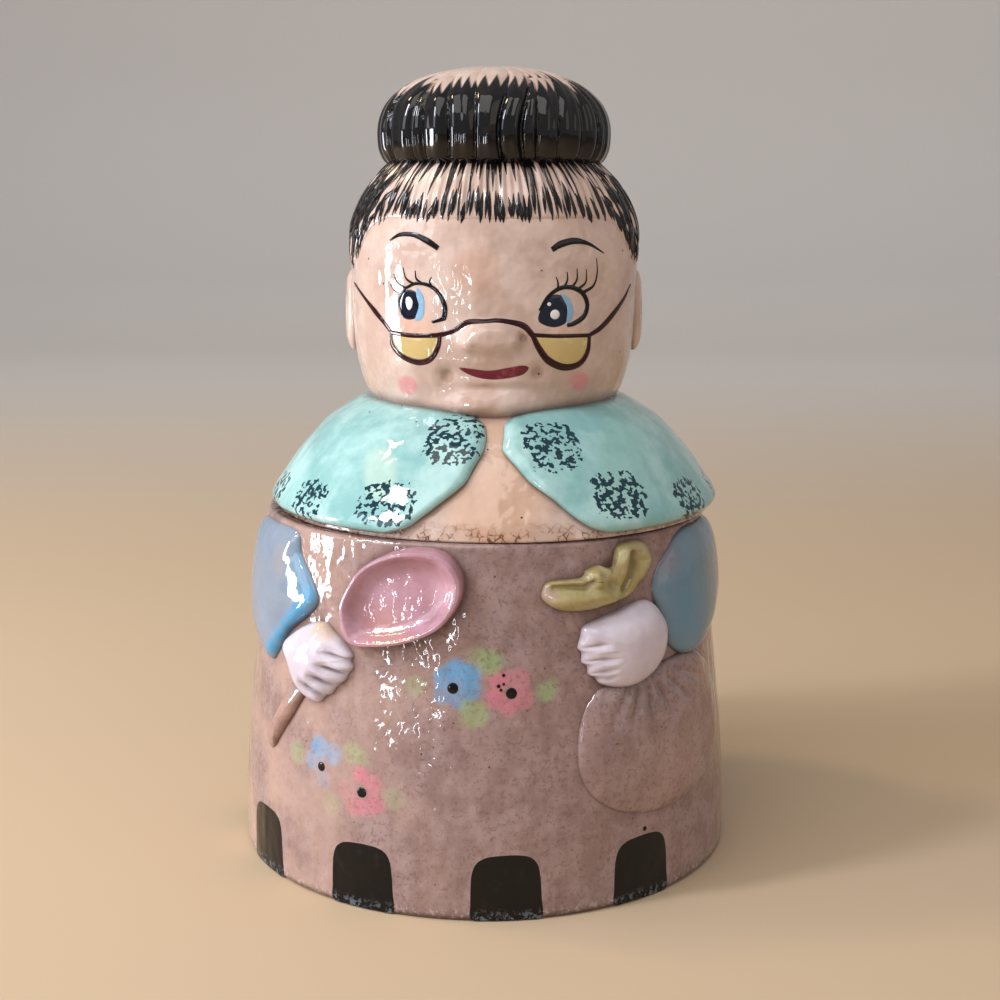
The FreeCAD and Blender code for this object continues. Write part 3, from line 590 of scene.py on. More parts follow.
def bake(piece, tree, values):
    """Apply a Geometry Nodes tree with its named inputs set, and leave the piece as a plain mesh."""
    modifier = piece.modifiers.new(tree.name, "NODES")
    modifier.node_group = tree
    for item in tree.interface.items_tree:
        if item.item_type == "SOCKET" and item.in_out == "INPUT" and item.name in values:
            modifier[item.identifier] = values[item.name]
    seen = bpy.context.evaluated_depsgraph_get()
    seen.update()
    mesh = bpy.data.meshes.new_from_object(piece.evaluated_get(seen))
    piece.modifiers.clear()
    piece.data = mesh


def geometry_tree(name, inputs):
    """An empty Geometry Nodes tree with a mesh in, a mesh out and the named inputs."""
    tree = bpy.data.node_groups.new(name, "GeometryNodeTree")
    tree.interface.new_socket("Geometry", in_out="INPUT", socket_type="NodeSocketGeometry")
    for label, kind in inputs.items():
        tree.interface.new_socket(label, in_out="INPUT", socket_type=kind)
    tree.interface.new_socket("Geometry", in_out="OUTPUT", socket_type="NodeSocketGeometry")
    return tree, put(tree, "NodeGroupInput")


ring_tree, ring_in = geometry_tree("repeat_round_hem", {
    "Count": "NodeSocketInt", "First": "NodeSocketFloat", "Spacing": "NodeSocketFloat",
    "Material": "NodeSocketMaterial"})
places = put(ring_tree, "GeometryNodeMeshLine", {"Count": ring_in.outputs["Count"], "Offset": (0, 0, 0)})
which = put(ring_tree, "GeometryNodeInputIndex")
degrees = put(ring_tree, "ShaderNodeMath", {
    0: which, 1: ring_in.outputs["Spacing"], 2: ring_in.outputs["First"]}, operation="MULTIPLY_ADD")
angle = put(ring_tree, "ShaderNodeMath", {0: degrees}, operation="RADIANS")
spin = put(ring_tree, "ShaderNodeCombineXYZ", {"Z": angle})
copies = put(ring_tree, "GeometryNodeInstanceOnPoints", {
    "Points": places, "Instance": ring_in.outputs["Geometry"], "Rotation": spin})
real = put(ring_tree, "GeometryNodeRealizeInstances", {"Geometry": copies})
coated = put(ring_tree, "GeometryNodeSetMaterial", {
    "Geometry": real, "Material": ring_in.outputs["Material"]})
put(ring_tree, "NodeGroupOutput", {"Geometry": coated})
bake(arches, ring_tree, {"Count": ARCH_COUNT, "First": ARCH_FIRST, "Spacing": ARCH_SPACING,
                         "Material": black_paint})
for marks in (arches, dots):
    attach(marks, "jar")

# The lid's shoulders and breast: the lower part of the slip-cast lid, a hollow dome with the ring that
# finds the jar's mouth. Peach glaze, crazed and stained brown along its lower edge.
LID_SHIFT = 2.0
CHEST_HEIGHTS = [78.2, 81.2, 84.5, 88.6, 93.5, 97.0, 99.8, 102.0]
CHEST_RADII = [48.6, 47.6, 45.5, 42.6, 38.3, 34.6, 30.2, 26.6]
CHEST_INSIDE = [(39.6, 79.6), (40.4, 83.0), (38.4, 88.0), (34.2, 92.6), (29.4, 96.2), (24.0, 99.2),
                (21.4, 102.0)]
LOCATING_RING = [(48.2, 78.0), (46.0, 78.2), (42.7, 78.2), (42.6, 78.0), (42.6, 76.0), (42.2, 75.4),
                 (41.6, 75.2), (40.6, 75.2), (39.9, 75.4), (39.6, 76.0)]
CHEST_ROWS, CHEST_COLUMNS = 60, 420
CRAZE_MM = 1.5


def flesh_paint(tree, place):
    """Peach spray; along the lid's lower edge the glaze is crazed, and fat has stained the cracks."""
    peach = undercoat("#C8AC9E", "#DBC3B7", 11.0, 0.25)(tree, place)
    cells = put(tree, "ShaderNodeTexVoronoi", {"Vector": place, "Scale": 1 / (CRAZE_MM * MM)},
                feature="DISTANCE_TO_EDGE")
    cracks = put(tree, "ShaderNodeMapRange", {
        "Value": cells.outputs["Distance"], "From Min": 0.12, "From Max": 0.03},
        interpolation_type="SMOOTHSTEP")
    crazed = put(tree, "ShaderNodeAttribute", attribute_name="craze").outputs["Fac"]
    worn_and_lit = patches(tree, place, 3.2, 0.42, 0.6, 4.0, 0.7)
    craze = put(tree, "ShaderNodeMath", {0: crazed, 1: worn_and_lit}, operation="MULTIPLY")
    stain = put(tree, "ShaderNodeMath", {0: craze, 1: 0.5}, operation="MULTIPLY")
    stained = put(tree, "ShaderNodeMix", {SHARE: stain, UNDER: peach, OVER: rgb("#B88A68")},
                  data_type="RGBA")
    lines = put(tree, "ShaderNodeMath", {0: craze, 1: cracks}, operation="MULTIPLY")
    return put(tree, "ShaderNodeMix", {SHARE: lines, UNDER: stained, OVER: rgb("#6B442C")},
               data_type="RGBA")


flesh_glaze = glazed("peach_flesh_glaze", flesh_paint, runs=0.5, ripple=0.24, pool_and_shade=0.4)
chest_z = np.linspace(CHEST_HEIGHTS[-1], CHEST_HEIGHTS[0], CHEST_ROWS)
chest_profile = np.concatenate([
    CHEST_INSIDE[-1:],
    np.stack([smooth_line(CHEST_HEIGHTS, CHEST_RADII, chest_z), chest_z], axis=1),
    LOCATING_RING,
    CHEST_INSIDE,
])
chest_turn = np.linspace(-math.pi, math.pi, CHEST_COLUMNS, endpoint=False)
chest_rings = around(chest_turn, chest_profile[:, :1], chest_profile[:, 1:], LID_SHIFT)


def facing_front(rings):
    """Distance across from the lid's axis, and far out of every puff's reach on the back."""
    return np.where(rings[..., 1] < 0, rings[..., 0] - LID_SHIFT, 99.0)


chest_spray = airbrush([(0, 90, 12.0, "#D6AD90", 0.6), (0, 83, 9.0, "#CDA288", 0.4)],
                       facing_front(chest_rings), chest_rings[..., 2])
craze = step(82.6, 78.6, chest_rings[..., 2]) * step(74, 77, chest_rings[..., 2])
shoulders = clay("shoulders_and_breast", chest_rings, flesh_glaze, spray=chest_spray, craze=craze)
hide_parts("shoulders")
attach(shoulders, "lid")

# The head: the upper part of the same casting, with a small nose, lips, full cheeks and a chin. It is sprayed
# peach, with pink spots airbrushed on the cheeks, and painted brown shade in the dimples at the corners of
# the mouth and in the nostril.
HEAD_Z = [100.0, 104.0, 110.0, 118.0, 126.0, 134.0, 141.0, 147.0, 152.0, 156.0]
HEAD_A = [25.5, 28.2, 30.2, 31.2, 31.5, 31.4, 30.2, 27.2, 23.0, 18.0]
HEAD_B = [23.5, 26.3, 28.4, 29.4, 29.6, 29.4, 28.2, 25.6, 21.8, 17.0]
# Forms of the face: middle across and up, half-width and half-height, stand-out, and how flat its top is
FACE_FORMS = [
    (-0.9, 117.0, 5.6, 3.1, 3.0, 1.8), (-5.4, 115.7, 1.5, 1.6, 0.9, 1.2), (3.8, 115.9, 1.5, 1.6, 0.9, 1.2),
    (-0.9, 112.7, 6.8, 0.9, 0.5, 1.0), (-0.4, 111.4, 8.0, 1.8, 0.8, 1.0), (-0.4, 108.3, 8.0, 1.3, 0.8, 1.0),
    (-1.2, 102.4, 9.0, 4.4, 3.6, 1.3), (0, 101.4, 21.0, 3.0, 1.6, 1.2),
    (-15.6, 110.4, 9.0, 8.5, 1.7, 1.1), (14.6, 110.6, 9.0, 8.5, 1.7, 1.1),
    (-9.6, 109.4, 1.5, 1.8, -0.9, 1.0), (8.9, 110.2, 1.4, 1.6, -0.8, 1.0), (5.3, 117.4, 0.5, 0.8, -0.6, 1.0),
    (-0.6, 106.7, 7.0, 0.8, -0.4, 1.0),
]


def head_radius(turn, height):
    """Radius of the head without the face's forms, at an angle from the front in radians."""
    across = smooth_line(HEAD_Z, HEAD_A, height)
    deep = smooth_line(HEAD_Z, HEAD_B, height)
    return 1 / np.sqrt((np.sin(turn) / across) ** 2 + (np.cos(turn) / deep) ** 2)


def face_relief(x, height):
    total = np.zeros(np.broadcast(x, height).shape)
    for mid_x, mid_z, half_x, half_z, out, flat_top in FACE_FORMS:
        far = ((x - mid_x) / half_x) ** 2 + ((height - mid_z) / half_z) ** 2
        total = total + out * np.exp(-0.9 * far ** flat_top)
    return total


def on_head(turn, height, out=0.0):
    """Points of the head's outside at an angle in radians and a height, standing out by millimetres."""
    plain = head_radius(turn, height)
    relief = np.where(np.cos(turn) > 0, face_relief(plain * np.sin(turn), height), 0)
    return around(turn, plain + relief + out, height, LID_SHIFT)


def on_face(x, height, out=0.0):
    """Points of the face at a distance across from the head's axis and a height."""
    x, height = np.broadcast_arrays(np.asarray(x, float), height)
    turn = np.arcsin(np.clip(x / head_radius(np.zeros_like(x), height), -0.99, 0.99))
    for _ in range(8):
        turn = np.arcsin(np.clip(x / (head_radius(turn, height) + face_relief(x, height)), -0.99, 0.99))
    return on_head(turn, height, out)


HEAD_COLUMNS, HEAD_WALL = 340, 4.5
HEAD_TOP, HOLLOW_TOP = 156.8, 151.4
# How much closer together the columns stand on the face than at the back of the head.
FACE_CROWDING = 0.5
head_z = np.concatenate([np.linspace(100.4, 146, 154), np.linspace(146.5, 156, 16)])[:, None]
even = np.linspace(-math.pi, math.pi, HEAD_COLUMNS, endpoint=False)
head_turn = (even - FACE_CROWDING * np.sin(even))[None, :]
hollow_z = np.linspace(102, 151, 24)[:, None]
head_rings = np.concatenate([
    around(head_turn, 0.0, np.full((1, 1), HOLLOW_TOP), LID_SHIFT),
    around(head_turn, head_radius(head_turn, hollow_z) - HEAD_WALL, hollow_z, LID_SHIFT)[::-1],
    on_head(head_turn, head_z),
    around(head_turn, 0.0, np.full((1, 1), HEAD_TOP), LID_SHIFT),
])
# Puffs: pink spots on the cheeks; painted shade in the dimples at the mouth's corners and in the nostril;
# browner ones under the nose, between the eyes and below the lip; warmer ones on the forehead and under the
# eyes.
head_spray = airbrush([
    (-18.3, 106.7, 2.1, "#DE8790", 0.7), (17.8, 107.6, 2.1, "#DE8790", 0.7),
    (-9.8, 109.2, 1.5, "#8F6448", 0.45), (8.8, 109.8, 1.3, "#8F6448", 0.4),
    (5.9, 117.2, 0.8, "#7A523C", 0.6), (-3, 104.8, 4.0, "#B98F76", 0.4),
    (-4, 131, 5.0, "#D8A48C", 0.35), (-1, 124, 4.0, "#B08C78", 0.3), (-16, 118.6, 4.0, "#DDA37E", 0.4),
    (15, 117.4, 3.6, "#DDA37E", 0.3), (0, 112.6, 4.0, "#B98F76", 0.35)],
    facing_front(head_rings), head_rings[..., 2])
head = clay("head", head_rings, flesh_glaze, spray=head_spray, craze=np.zeros(head_rings.shape[:2]))
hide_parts("head")
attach(head, "lid")

# The cape collar: modelled on the lid as a thick soft-edged cape, open in front between two curved
# edges. It is sprayed aqua and dabbed with a sponge in dark teal along its border.
COLLAR_Z = [78.9, 81.8, 85.0, 89.0, 93.9, 97.6, 100.4, 102.6]
COLLAR_R = [50.8, 49.8, 47.6, 44.8, 40.6, 36.8, 32.4, 28.6]
LEFT_EDGE_Z = [78.7, 78.9, 79.6, 82.8, 85.7, 87.7, 89.9, 92.4, 95.3, 97.1, 98.8, 103]
LEFT_EDGE_X = [-23.2, -22.1, -20.1, -15.0, -11.0, -8.4, -6.0, -4.6, -3.0, -2.1, -1.7, -1.9]
RIGHT_EDGE_Z = [78.7, 79.2, 82.2, 86.1, 89.9, 93.5, 95.3, 97.1, 99.1, 103]
RIGHT_EDGE_X = [23.4, 22.2, 17.1, 12.1, 7.1, 4.1, 2.7, 1.5, 1.6, 1.9]
SPONGED = [(-13.5, 96.6, 7.0, 5.0), (-28, 84.8, 8.0, 4.8), (-53.6, 83.4, 6.6, 4.4), (-75.4, 82.5, 6.6, 4.4),
           (-99, 82.6, 6.5, 4.4), (-124, 82.8, 6.5, 4.4), (-149, 82.6, 6.5, 4.4), (-175, 82.8, 6.5, 4.4),
           (17.6, 95.6, 7.0, 5.0), (33.4, 86, 7.6, 5.2), (58.6, 82.8, 7.0, 4.6), (82, 82.6, 6.5, 4.4),
           (107, 82.8, 6.5, 4.4), (132, 82.6, 6.5, 4.4), (157, 82.8, 6.5, 4.4)]
# The cape's lower and upper edge, its rows and columns, the columns under it, where its neckline stands
# round her neck, and how round its edges are.
CAPE_BOTTOM, CAPE_TOP = 78.9, 102.6
CAPE_ROWS, CAPE_COLUMNS, UNDER_COLUMNS = 76, 480, 120
COLLAR_TOP_TURN = [0, 4, 8, 14, 26, 56, 180]
COLLAR_TOP_Z = [99.6, 100.0, 100.9, 101.6, 102.1, 102.6, 102.8]
EDGE_ROUNDING = 2.2


def cape_paint(tree, place):
    """Aqua with paler clouds; the sponge left torn teal marks inside each dabbed place."""
    aqua = undercoat("#88B9B8", "#AFD5D3", 13.0, 0.12)(tree, place)
    pores = put(tree, "ShaderNodeTexNoise", {
        "Vector": place, "Scale": 1 / (1.2 * MM), "Detail": 1.5, "Roughness": 0.6})
    sponge = put(tree, "ShaderNodeAttribute", attribute_name="sponge").outputs["Fac"]
    pressed = put(tree, "ShaderNodeMath", {0: sponge, 1: 0.42}, operation="MULTIPLY")
    torn = put(tree, "ShaderNodeMath", {0: pores, 1: pressed}, operation="ADD")
    dabbed = put(tree, "ShaderNodeMapRange", {"Value": torn, "From Min": 0.9, "From Max": 0.93},
                 interpolation_type="SMOOTHSTEP")
    return put(tree, "ShaderNodeMix", {SHARE: dabbed, UNDER: aqua, OVER: rgb("#0F3440")},
               data_type="RGBA")


def crowded_ends(count):
    """Shares from 0 to 1, closer together towards both ends."""
    return 0.5 - 0.5 * np.cos(math.pi * np.linspace(0, 1, count))


cape_glaze = glazed("aqua_cape_glaze", cape_paint)
up_share = (0.5 * (np.linspace(0, 1, CAPE_ROWS) + crowded_ends(CAPE_ROWS)))[::-1]
cape_z = CAPE_BOTTOM + (CAPE_TOP - CAPE_BOTTOM) * up_share
outer_r = smooth_line(COLLAR_Z, COLLAR_R, cape_z)
right_turn = np.arcsin(smooth_line(RIGHT_EDGE_Z, RIGHT_EDGE_X, cape_z) / outer_r)[:, None]
left_turn = 2 * math.pi + np.arcsin(smooth_line(LEFT_EDGE_Z, LEFT_EDGE_X, cape_z) / outer_r)[:, None]
across = 0.35 * np.linspace(0, 1, CAPE_COLUMNS) + 0.65 * crowded_ends(CAPE_COLUMNS)
cape_turn = right_turn + across * (left_turn - right_turn)
from_edge = 0.72 * outer_r[:, None] * np.minimum(cape_turn - right_turn, left_turn - cape_turn)
down = np.concatenate([[0], np.cumsum(np.hypot(np.diff(outer_r), np.diff(cape_z)))])
from_rim = np.minimum(down, down[-1] - down)[:, None]
near = EDGE_ROUNDING - np.hypot(np.clip(EDGE_ROUNDING - from_edge, 0, None),
                                np.clip(EDGE_ROUNDING - from_rim, 0, None))
swollen = np.sqrt(np.clip(1 - (1 - np.clip(near / EDGE_ROUNDING, 0, 1)) ** 2, 0, 1))
back_turn = right_turn + np.linspace(1, 0, UNDER_COLUMNS) * (left_turn - right_turn)
cape_angle = np.concatenate([cape_turn, back_turn], axis=1)
front_degrees = np.abs((np.degrees(cape_angle) + 180) % 360 - 180)
cape_top = np.interp(front_degrees, COLLAR_TOP_TURN, COLLAR_TOP_Z)
cape_height = CAPE_BOTTOM + (cape_top - CAPE_BOTTOM) * up_share[:, None]
cape_under = smooth_line(CHEST_HEIGHTS, CHEST_RADII, np.clip(cape_height, 78.2, 102)) - 0.2
thickness = (smooth_line(COLLAR_Z, COLLAR_R, cape_height) - cape_under)[:, :CAPE_COLUMNS] * swollen
cape_radius = cape_under.copy()
cape_radius[:, :CAPE_COLUMNS] += thickness
cape_rings = around(cape_angle, cape_radius, cape_height, LID_SHIFT)
sponge = np.zeros(cape_angle.shape)
for middle, height, half_across, half_up in SPONGED:
    turned_by = (np.degrees(cape_angle) - middle + 180) % 360 - 180
    far = (np.abs(np.radians(turned_by) * cape_radius / half_across) ** 3
           + np.abs((cape_height - height) / half_up) ** 3) ** (1 / 3)
    sponge = np.maximum(sponge, step(1.12, 0.75, far))
# Painted light and shade: pale yellowish puffs on the side towards the window, and a darker green puff on the
# far side.
cape_painted_light = airbrush([
    (-30, 90, 5.0, "#C6DCCB", 0.6), (-60, 88, 7.0, "#B5E2DF", 0.5), (40, 92, 8.0, "#8DBFB6", 0.6)],
    np.where(cape_rings[..., 1] < 30, cape_rings[..., 0] * 1.4, 999.0), cape_height)
cape = clay("cape_collar_shell", cape_rings, cape_glaze, sponge=sponge, spray=cape_painted_light)
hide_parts("cape_collar")
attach(cape, "lid")

# The hair over the skull: part of the casting, combed with a tool into low ridges. It is left peach
# in front and drawn over with a brush there, and behind it is covered in brown-black.
HAIRLINE_TURN = [0, 50, 58, 64, 70, 76, 80, 84, 95, 102, 104, 109, 122, 180]
HAIRLINE_Z = [141.0, 141.0, 139.6, 136.4, 132.8, 130.8, 131.2, 133.6, 133.0, 128, 117, 108.5, 105.2, 104.6]


def hairline(turn):
    """Height of the hair's lower edge, at an angle from the front in radians."""
    return np.interp(np.abs(np.degrees(turn)), HAIRLINE_TURN, HAIRLINE_Z)


def hair_radius(turn, height):
    """Radius of the combed hair: it thins out towards its lower edge, and has low ridges."""
    above = height - hairline(turn)
    lift = 0.55 * np.sqrt(np.clip(1 - (1 - np.clip(above / 1.2, 0, 1)) ** 2, 0, 1)) + 0.5 * step(0, 7, above)
    comb = 0.15 * np.cos(96 * turn + 1.3 * np.sin(5 * turn)) + 0.1 * np.cos(61 * turn + 2.0)
    return head_radius(turn, height) + lift + comb * step(0, 3, above) * step(154, 151, height) - 0.25


def hair_paint(tree, place):
    """Bare peach at the brow, and dark brushwork where the field says so, streaked with the comb."""
    peach = undercoat("#C8AC9E", "#DBC3B7", 11.0, 0.1)(tree, place)
    dry = patches(tree, place, 2.5, 0.5, 0.75, 3.0)
    dark = put(tree, "ShaderNodeMix", {SHARE: dry, UNDER: rgb("#09080A"), OVER: rgb("#1E1313")},
               data_type="RGBA")
    ink = put(tree, "ShaderNodeAttribute", attribute_name="ink").outputs["Fac"]
    return put(tree, "ShaderNodeMix", {SHARE: ink, UNDER: peach, OVER: dark}, data_type="RGBA")


hair_glaze = glazed("brushed_black_hair", hair_paint, roughness=0.05, ripple=0.06, pool_and_shade=0.0, gloss=0.45)
CAP_COLUMNS, CAP_TOP, CAP_SINK = 720, 153.4, 0.6
cap_turn = np.linspace(-math.pi, math.pi, CAP_COLUMNS, endpoint=False)[None, :]
share = np.concatenate([np.linspace(0, 0.08, 8), np.linspace(0.1, 1, 44)])[:, None]
low = hairline(cap_turn)
cap_z = low + share * (CAP_TOP - low)
cap_outside = around(cap_turn, hair_radius(cap_turn, cap_z), cap_z, LID_SHIFT)
cap_inside = around(cap_turn, head_radius(cap_turn, cap_z) - CAP_SINK, cap_z, LID_SHIFT)
cap_rings = np.concatenate([cap_outside, cap_inside[::-1], cap_outside[:1]])
cap_degrees = np.abs(np.degrees(cap_turn)) + 0 * cap_z
fine = np.interp(np.degrees(cap_turn) * 3.1, np.arange(-600, 601), np.random.default_rng(7).random(1201))
cap_ink = step(0, 1, (cap_degrees - 86) / 24 + (fine - 0.5) * 1.6 * (cap_degrees < 150))
cap_ink = np.concatenate([cap_ink, cap_ink[::-1], cap_ink[:1]])
hair = clay("combed_hair", cap_rings, hair_glaze, ink=cap_ink,
            spray=airbrush([], cap_rings[..., 0], cap_rings[..., 2]))
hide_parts("hair_cap")
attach(hair, "lid")

# The brush strokes of the hair: two tiers of tapered dabs in the fringe, and long slanting strokes at
# the sides. Each is a low ridge of thick colour, lens-shaped across, laid along the surface.
stroke_tree, stroke_in = geometry_tree("draw_brush_strokes", {
    "Corners": "NodeSocketInt", "Thickness": "NodeSocketFloat", "Material": "NodeSocketMaterial"})
wide = put(stroke_tree, "GeometryNodeInputNamedAttribute", {"Name": "wide"}, data_type="FLOAT")
outward = put(stroke_tree, "GeometryNodeInputNamedAttribute", {"Name": "outward"}, data_type="FLOAT_VECTOR")
as_curve = put(stroke_tree, "GeometryNodeMeshToCurve", {"Mesh": stroke_in.outputs["Geometry"]})
aimed = put(stroke_tree, "GeometryNodeSetCurveNormal", {
    "Curve": as_curve, "Normal": outward.outputs["Attribute"]}, mode="FREE")
widened = put(stroke_tree, "GeometryNodeSetCurveRadius", {
    "Curve": aimed, "Radius": wide.outputs["Attribute"]})
section = put(stroke_tree, "GeometryNodeCurvePrimitiveCircle", {
    "Resolution": stroke_in.outputs["Corners"], "Radius": 1.0})
flatness = put(stroke_tree, "ShaderNodeCombineXYZ", {
    "X": stroke_in.outputs["Thickness"], "Y": 1.0, "Z": 1.0})
lens_shape = put(stroke_tree, "GeometryNodeTransform", {"Geometry": section, "Scale": flatness})
ridge = put(stroke_tree, "GeometryNodeCurveToMesh", {
    "Curve": widened, "Profile Curve": lens_shape, "Scale": wide.outputs["Attribute"], "Fill Caps": True})
rounded = put(stroke_tree, "GeometryNodeSetShadeSmooth", {"Geometry": ridge})
all_real = put(stroke_tree, "GeometryNodeRealizeInstances", {"Geometry": rounded})
inked = put(stroke_tree, "GeometryNodeSetMaterial", {
    "Geometry": all_real, "Material": stroke_in.outputs["Material"]})
put(stroke_tree, "NodeGroupOutput", {"Geometry": inked})
# How far a stroke's middle line stands off the surface.
STROKE_LIFT_MM = 0.04


def strokes(name, surface, lines, material, thickness=0.22, corners=12, steps=6):
    """Brush lines on a surface: each is (places, widths) with places (across, up) and widths in mm."""
    points, edges, radii, normals = [], [], [], []
    for places, widths in lines:
        places = np.asarray(places, float)
        closed = np.allclose(places[0], places[-1])
        fine = np.linspace(0, len(places) - 1, steps * (len(places) - 1) + 1)
        path = np.stack([smooth_line(range(len(places)), places[:, k], fine) for k in (0, 1)], axis=1)
        half_width = 0.6 * np.interp(np.linspace(0, 1, len(fine)), np.linspace(0, 1, len(widths)), widths)
        if closed:
            path, half_width = path[:-1], half_width[:-1]
        across, up = path[:, 0], path[:, 1]
        normal = np.cross(surface(across + 0.05, up) - surface(across - 0.05, up),
                          surface(across, up + 0.05) - surface(across, up - 0.05))
        first = len(points)
        points.extend(surface(across, up, STROKE_LIFT_MM) * MM)
        normals.extend(normal / np.linalg.norm(normal, axis=1, keepdims=True))
        radii.extend(half_width * MM)
        count = len(path)
        edges.extend((first + i, first + i + 1) for i in range(count - 1))
        if closed:
            edges.append((first + count - 1, first))
    mesh = bpy.data.meshes.new(name)
    mesh.from_pydata([tuple(p) for p in points], edges, [])
    mesh.attributes.new("wide", "FLOAT", "POINT").data.foreach_set("value", np.array(radii, np.float32))
    mesh.attributes.new("outward", "FLOAT_VECTOR", "POINT").data.foreach_set(
        "vector", np.array(normals, np.float32).ravel())
    piece = bpy.data.objects.new(name, mesh)
    bpy.context.scene.collection.objects.link(piece)
    bake(piece, stroke_tree, {"Corners": corners, "Thickness": thickness, "Material": material})
    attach(piece, "lid")


def on_hair(turn_degrees, height, out=0.0):
    turn = np.radians(turn_degrees)
    radius = np.maximum(hair_radius(turn, height), head_radius(turn, height)) + out
    return around(turn, radius, height, LID_SHIFT)


hair_ink = brushed_colour("hair_brushwork", "#120B0C", "#35211C", gloss=0.4)
pick = np.random.default_rng(11)
hair_lines = []
for middle in np.arange(-78, 79, 1.9):
    middle = middle + pick.uniform(-0.7, 0.7)
    lean = 0.06 * middle
    bottom = hairline(np.radians(middle)) + pick.uniform(-0.9, 1.2)
    top = bottom + pick.uniform(3.6, 8.0)
    wide_mm = pick.uniform(0.6, 1.15)
    bend = pick.uniform(-0.6, 0.6)
    hair_lines.append((
        [(middle - lean * 0.3 + bend, top), (middle, (top + bottom) / 2),
         (middle + lean * 0.35 - bend, bottom)], [0.1, 0.6 * wide_mm, wide_mm, 0.8 * wide_mm, 0.1]))
for middle in np.arange(-80, 81, 2.6):
    top = 153.4 + pick.uniform(-0.6, 0.2)
    bottom = top - pick.uniform(2.5, 9.5)
    start = middle * 0.97 + pick.uniform(-1.2, 1.2)
    hair_lines.append((
        [(start, top), (start + 0.02 * middle, (top + bottom) / 2), (start + 0.05 * middle, bottom)],
        [pick.uniform(0.6, 1.2), 0.7, 0.4, 0.1]))
for side in (-1, 1):
    for k in range(38):
        begin = pick.uniform(50, 104)
        finish = begin * 0.62 + 34 + pick.uniform(-3, 3)
        bottom = hairline(np.radians(finish)) + pick.uniform(-0.4, 4.0)
        top = pick.uniform(146.5, 153)
        wide_mm = pick.uniform(0.6, 1.3)
        hair_lines.append((
            [(side * begin, top), (side * (begin * 0.6 + finish * 0.4), (top * 0.6 + bottom * 0.4)),
             (side * finish, bottom)], [0.3, wide_mm, wide_mm, 0.7 * wide_mm, 0.1]))
strokes("hair_brush_strokes", on_hair, hair_lines, hair_ink, thickness=0.26, corners=10, steps=6)

# The bun: modelled on the lid's crown, its locks cut in with a tool. Glossy black is brushed up over it
# from below, and leaves a peach patch with a torn edge on top.
BUN_R = [0.0, 14.0, 21.4, 23.4, 24.7, 25.1, 24.9, 23.5, 20.2, 14.8, 8.6, 3.0, 0.0]
BUN_Z = [151.2, 151.3, 151.7, 152.7, 155.0, 157.8, 161.0, 164.6, 168.0, 170.7, 172.2, 172.75, 172.8]
along = np.concatenate([[0], np.cumsum(np.hypot(np.diff(BUN_R), np.diff(BUN_Z)))])
bun_s = np.concatenate([np.linspace(0, along[2], 6, endpoint=False), np.linspace(along[2], along[-1], 84)])
bun_r = smooth_line(along, BUN_R, bun_s)
bun_z = smooth_line(along, BUN_Z, bun_s)
bun_r[0] = bun_r[-1] = 0.0
LOCKS, BUN_COLUMNS, BUN_MIDDLE_Z = 30, 600, 160
# Most depth of the cuts between the locks, and how much the strands along each lock stand out.
CUT_DEPTH, STRAND_DEPTH = 1.6, 0.13
PATCH_Z = 167.2
pick = np.random.default_rng(23)
cuts = (np.arange(LOCKS) + pick.uniform(-0.36, 0.36, LOCKS)) * 360 / LOCKS
twist = pick.uniform(-9, 9, LOCKS)
fatness = pick.uniform(0.7, 1.25, LOCKS)
bun_turn = np.linspace(-180, 180, BUN_COLUMNS, endpoint=False)
rise = ((bun_z - BUN_MIDDLE_Z) / 10)[:, None]
lines_at = cuts + twist * np.clip(rise, -1, 1) ** 2 * 1.1 + 1.5 * rise * twist * 0.3
offset = (bun_turn[None, :, None] - lines_at[:, None, :]) % 360
behind = np.argmin(offset, axis=2)
past = np.take_along_axis(offset, behind[..., None], axis=2)[..., 0]
ahead = ((lines_at[:, None, :] - bun_turn[None, :, None]) % 360).min(axis=2)
width = past + ahead
u = past / np.maximum(width, 1e-6)
lobe = (4 * u * (1 - u)) ** 0.5
strand = STRAND_DEPTH * np.cos(2 * math.pi * (2.0 * u + 0.1 * twist[behind]))
fade = np.interp(bun_s, along[[0, 2, 3, 7, 9, 11]], [0, 0.4, 1, 1, 0.6, 0])[:, None]
cut = CUT_DEPTH * fatness[behind] * (lobe - 1) * np.minimum(1, width / 10)
bun_radius = bun_r[:, None] + fade * (cut + strand * lobe + 0.2)
bun_rings = around(np.radians(bun_turn), bun_radius, bun_z[:, None], LID_SHIFT)
torn = np.abs((u * (2.2 + 0.8 * np.sin(7.0 * behind)) + 0.37 * behind) % 1 - 0.5) * 2
limit = (PATCH_Z + 2.6 * (1 - torn) + 1.2 * np.sin(behind * 2.7)
         + 0.6 * np.sin(np.radians(bun_turn))[None, :])
ink = step(0.35, -0.35, bun_z[:, None] - limit)
bun = clay("hair_bun_locks", bun_rings, hair_glaze, ink=ink,
           spray=airbrush([], bun_rings[..., 0], bun_rings[..., 2]))
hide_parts("hair_bun")
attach(bun, "lid")

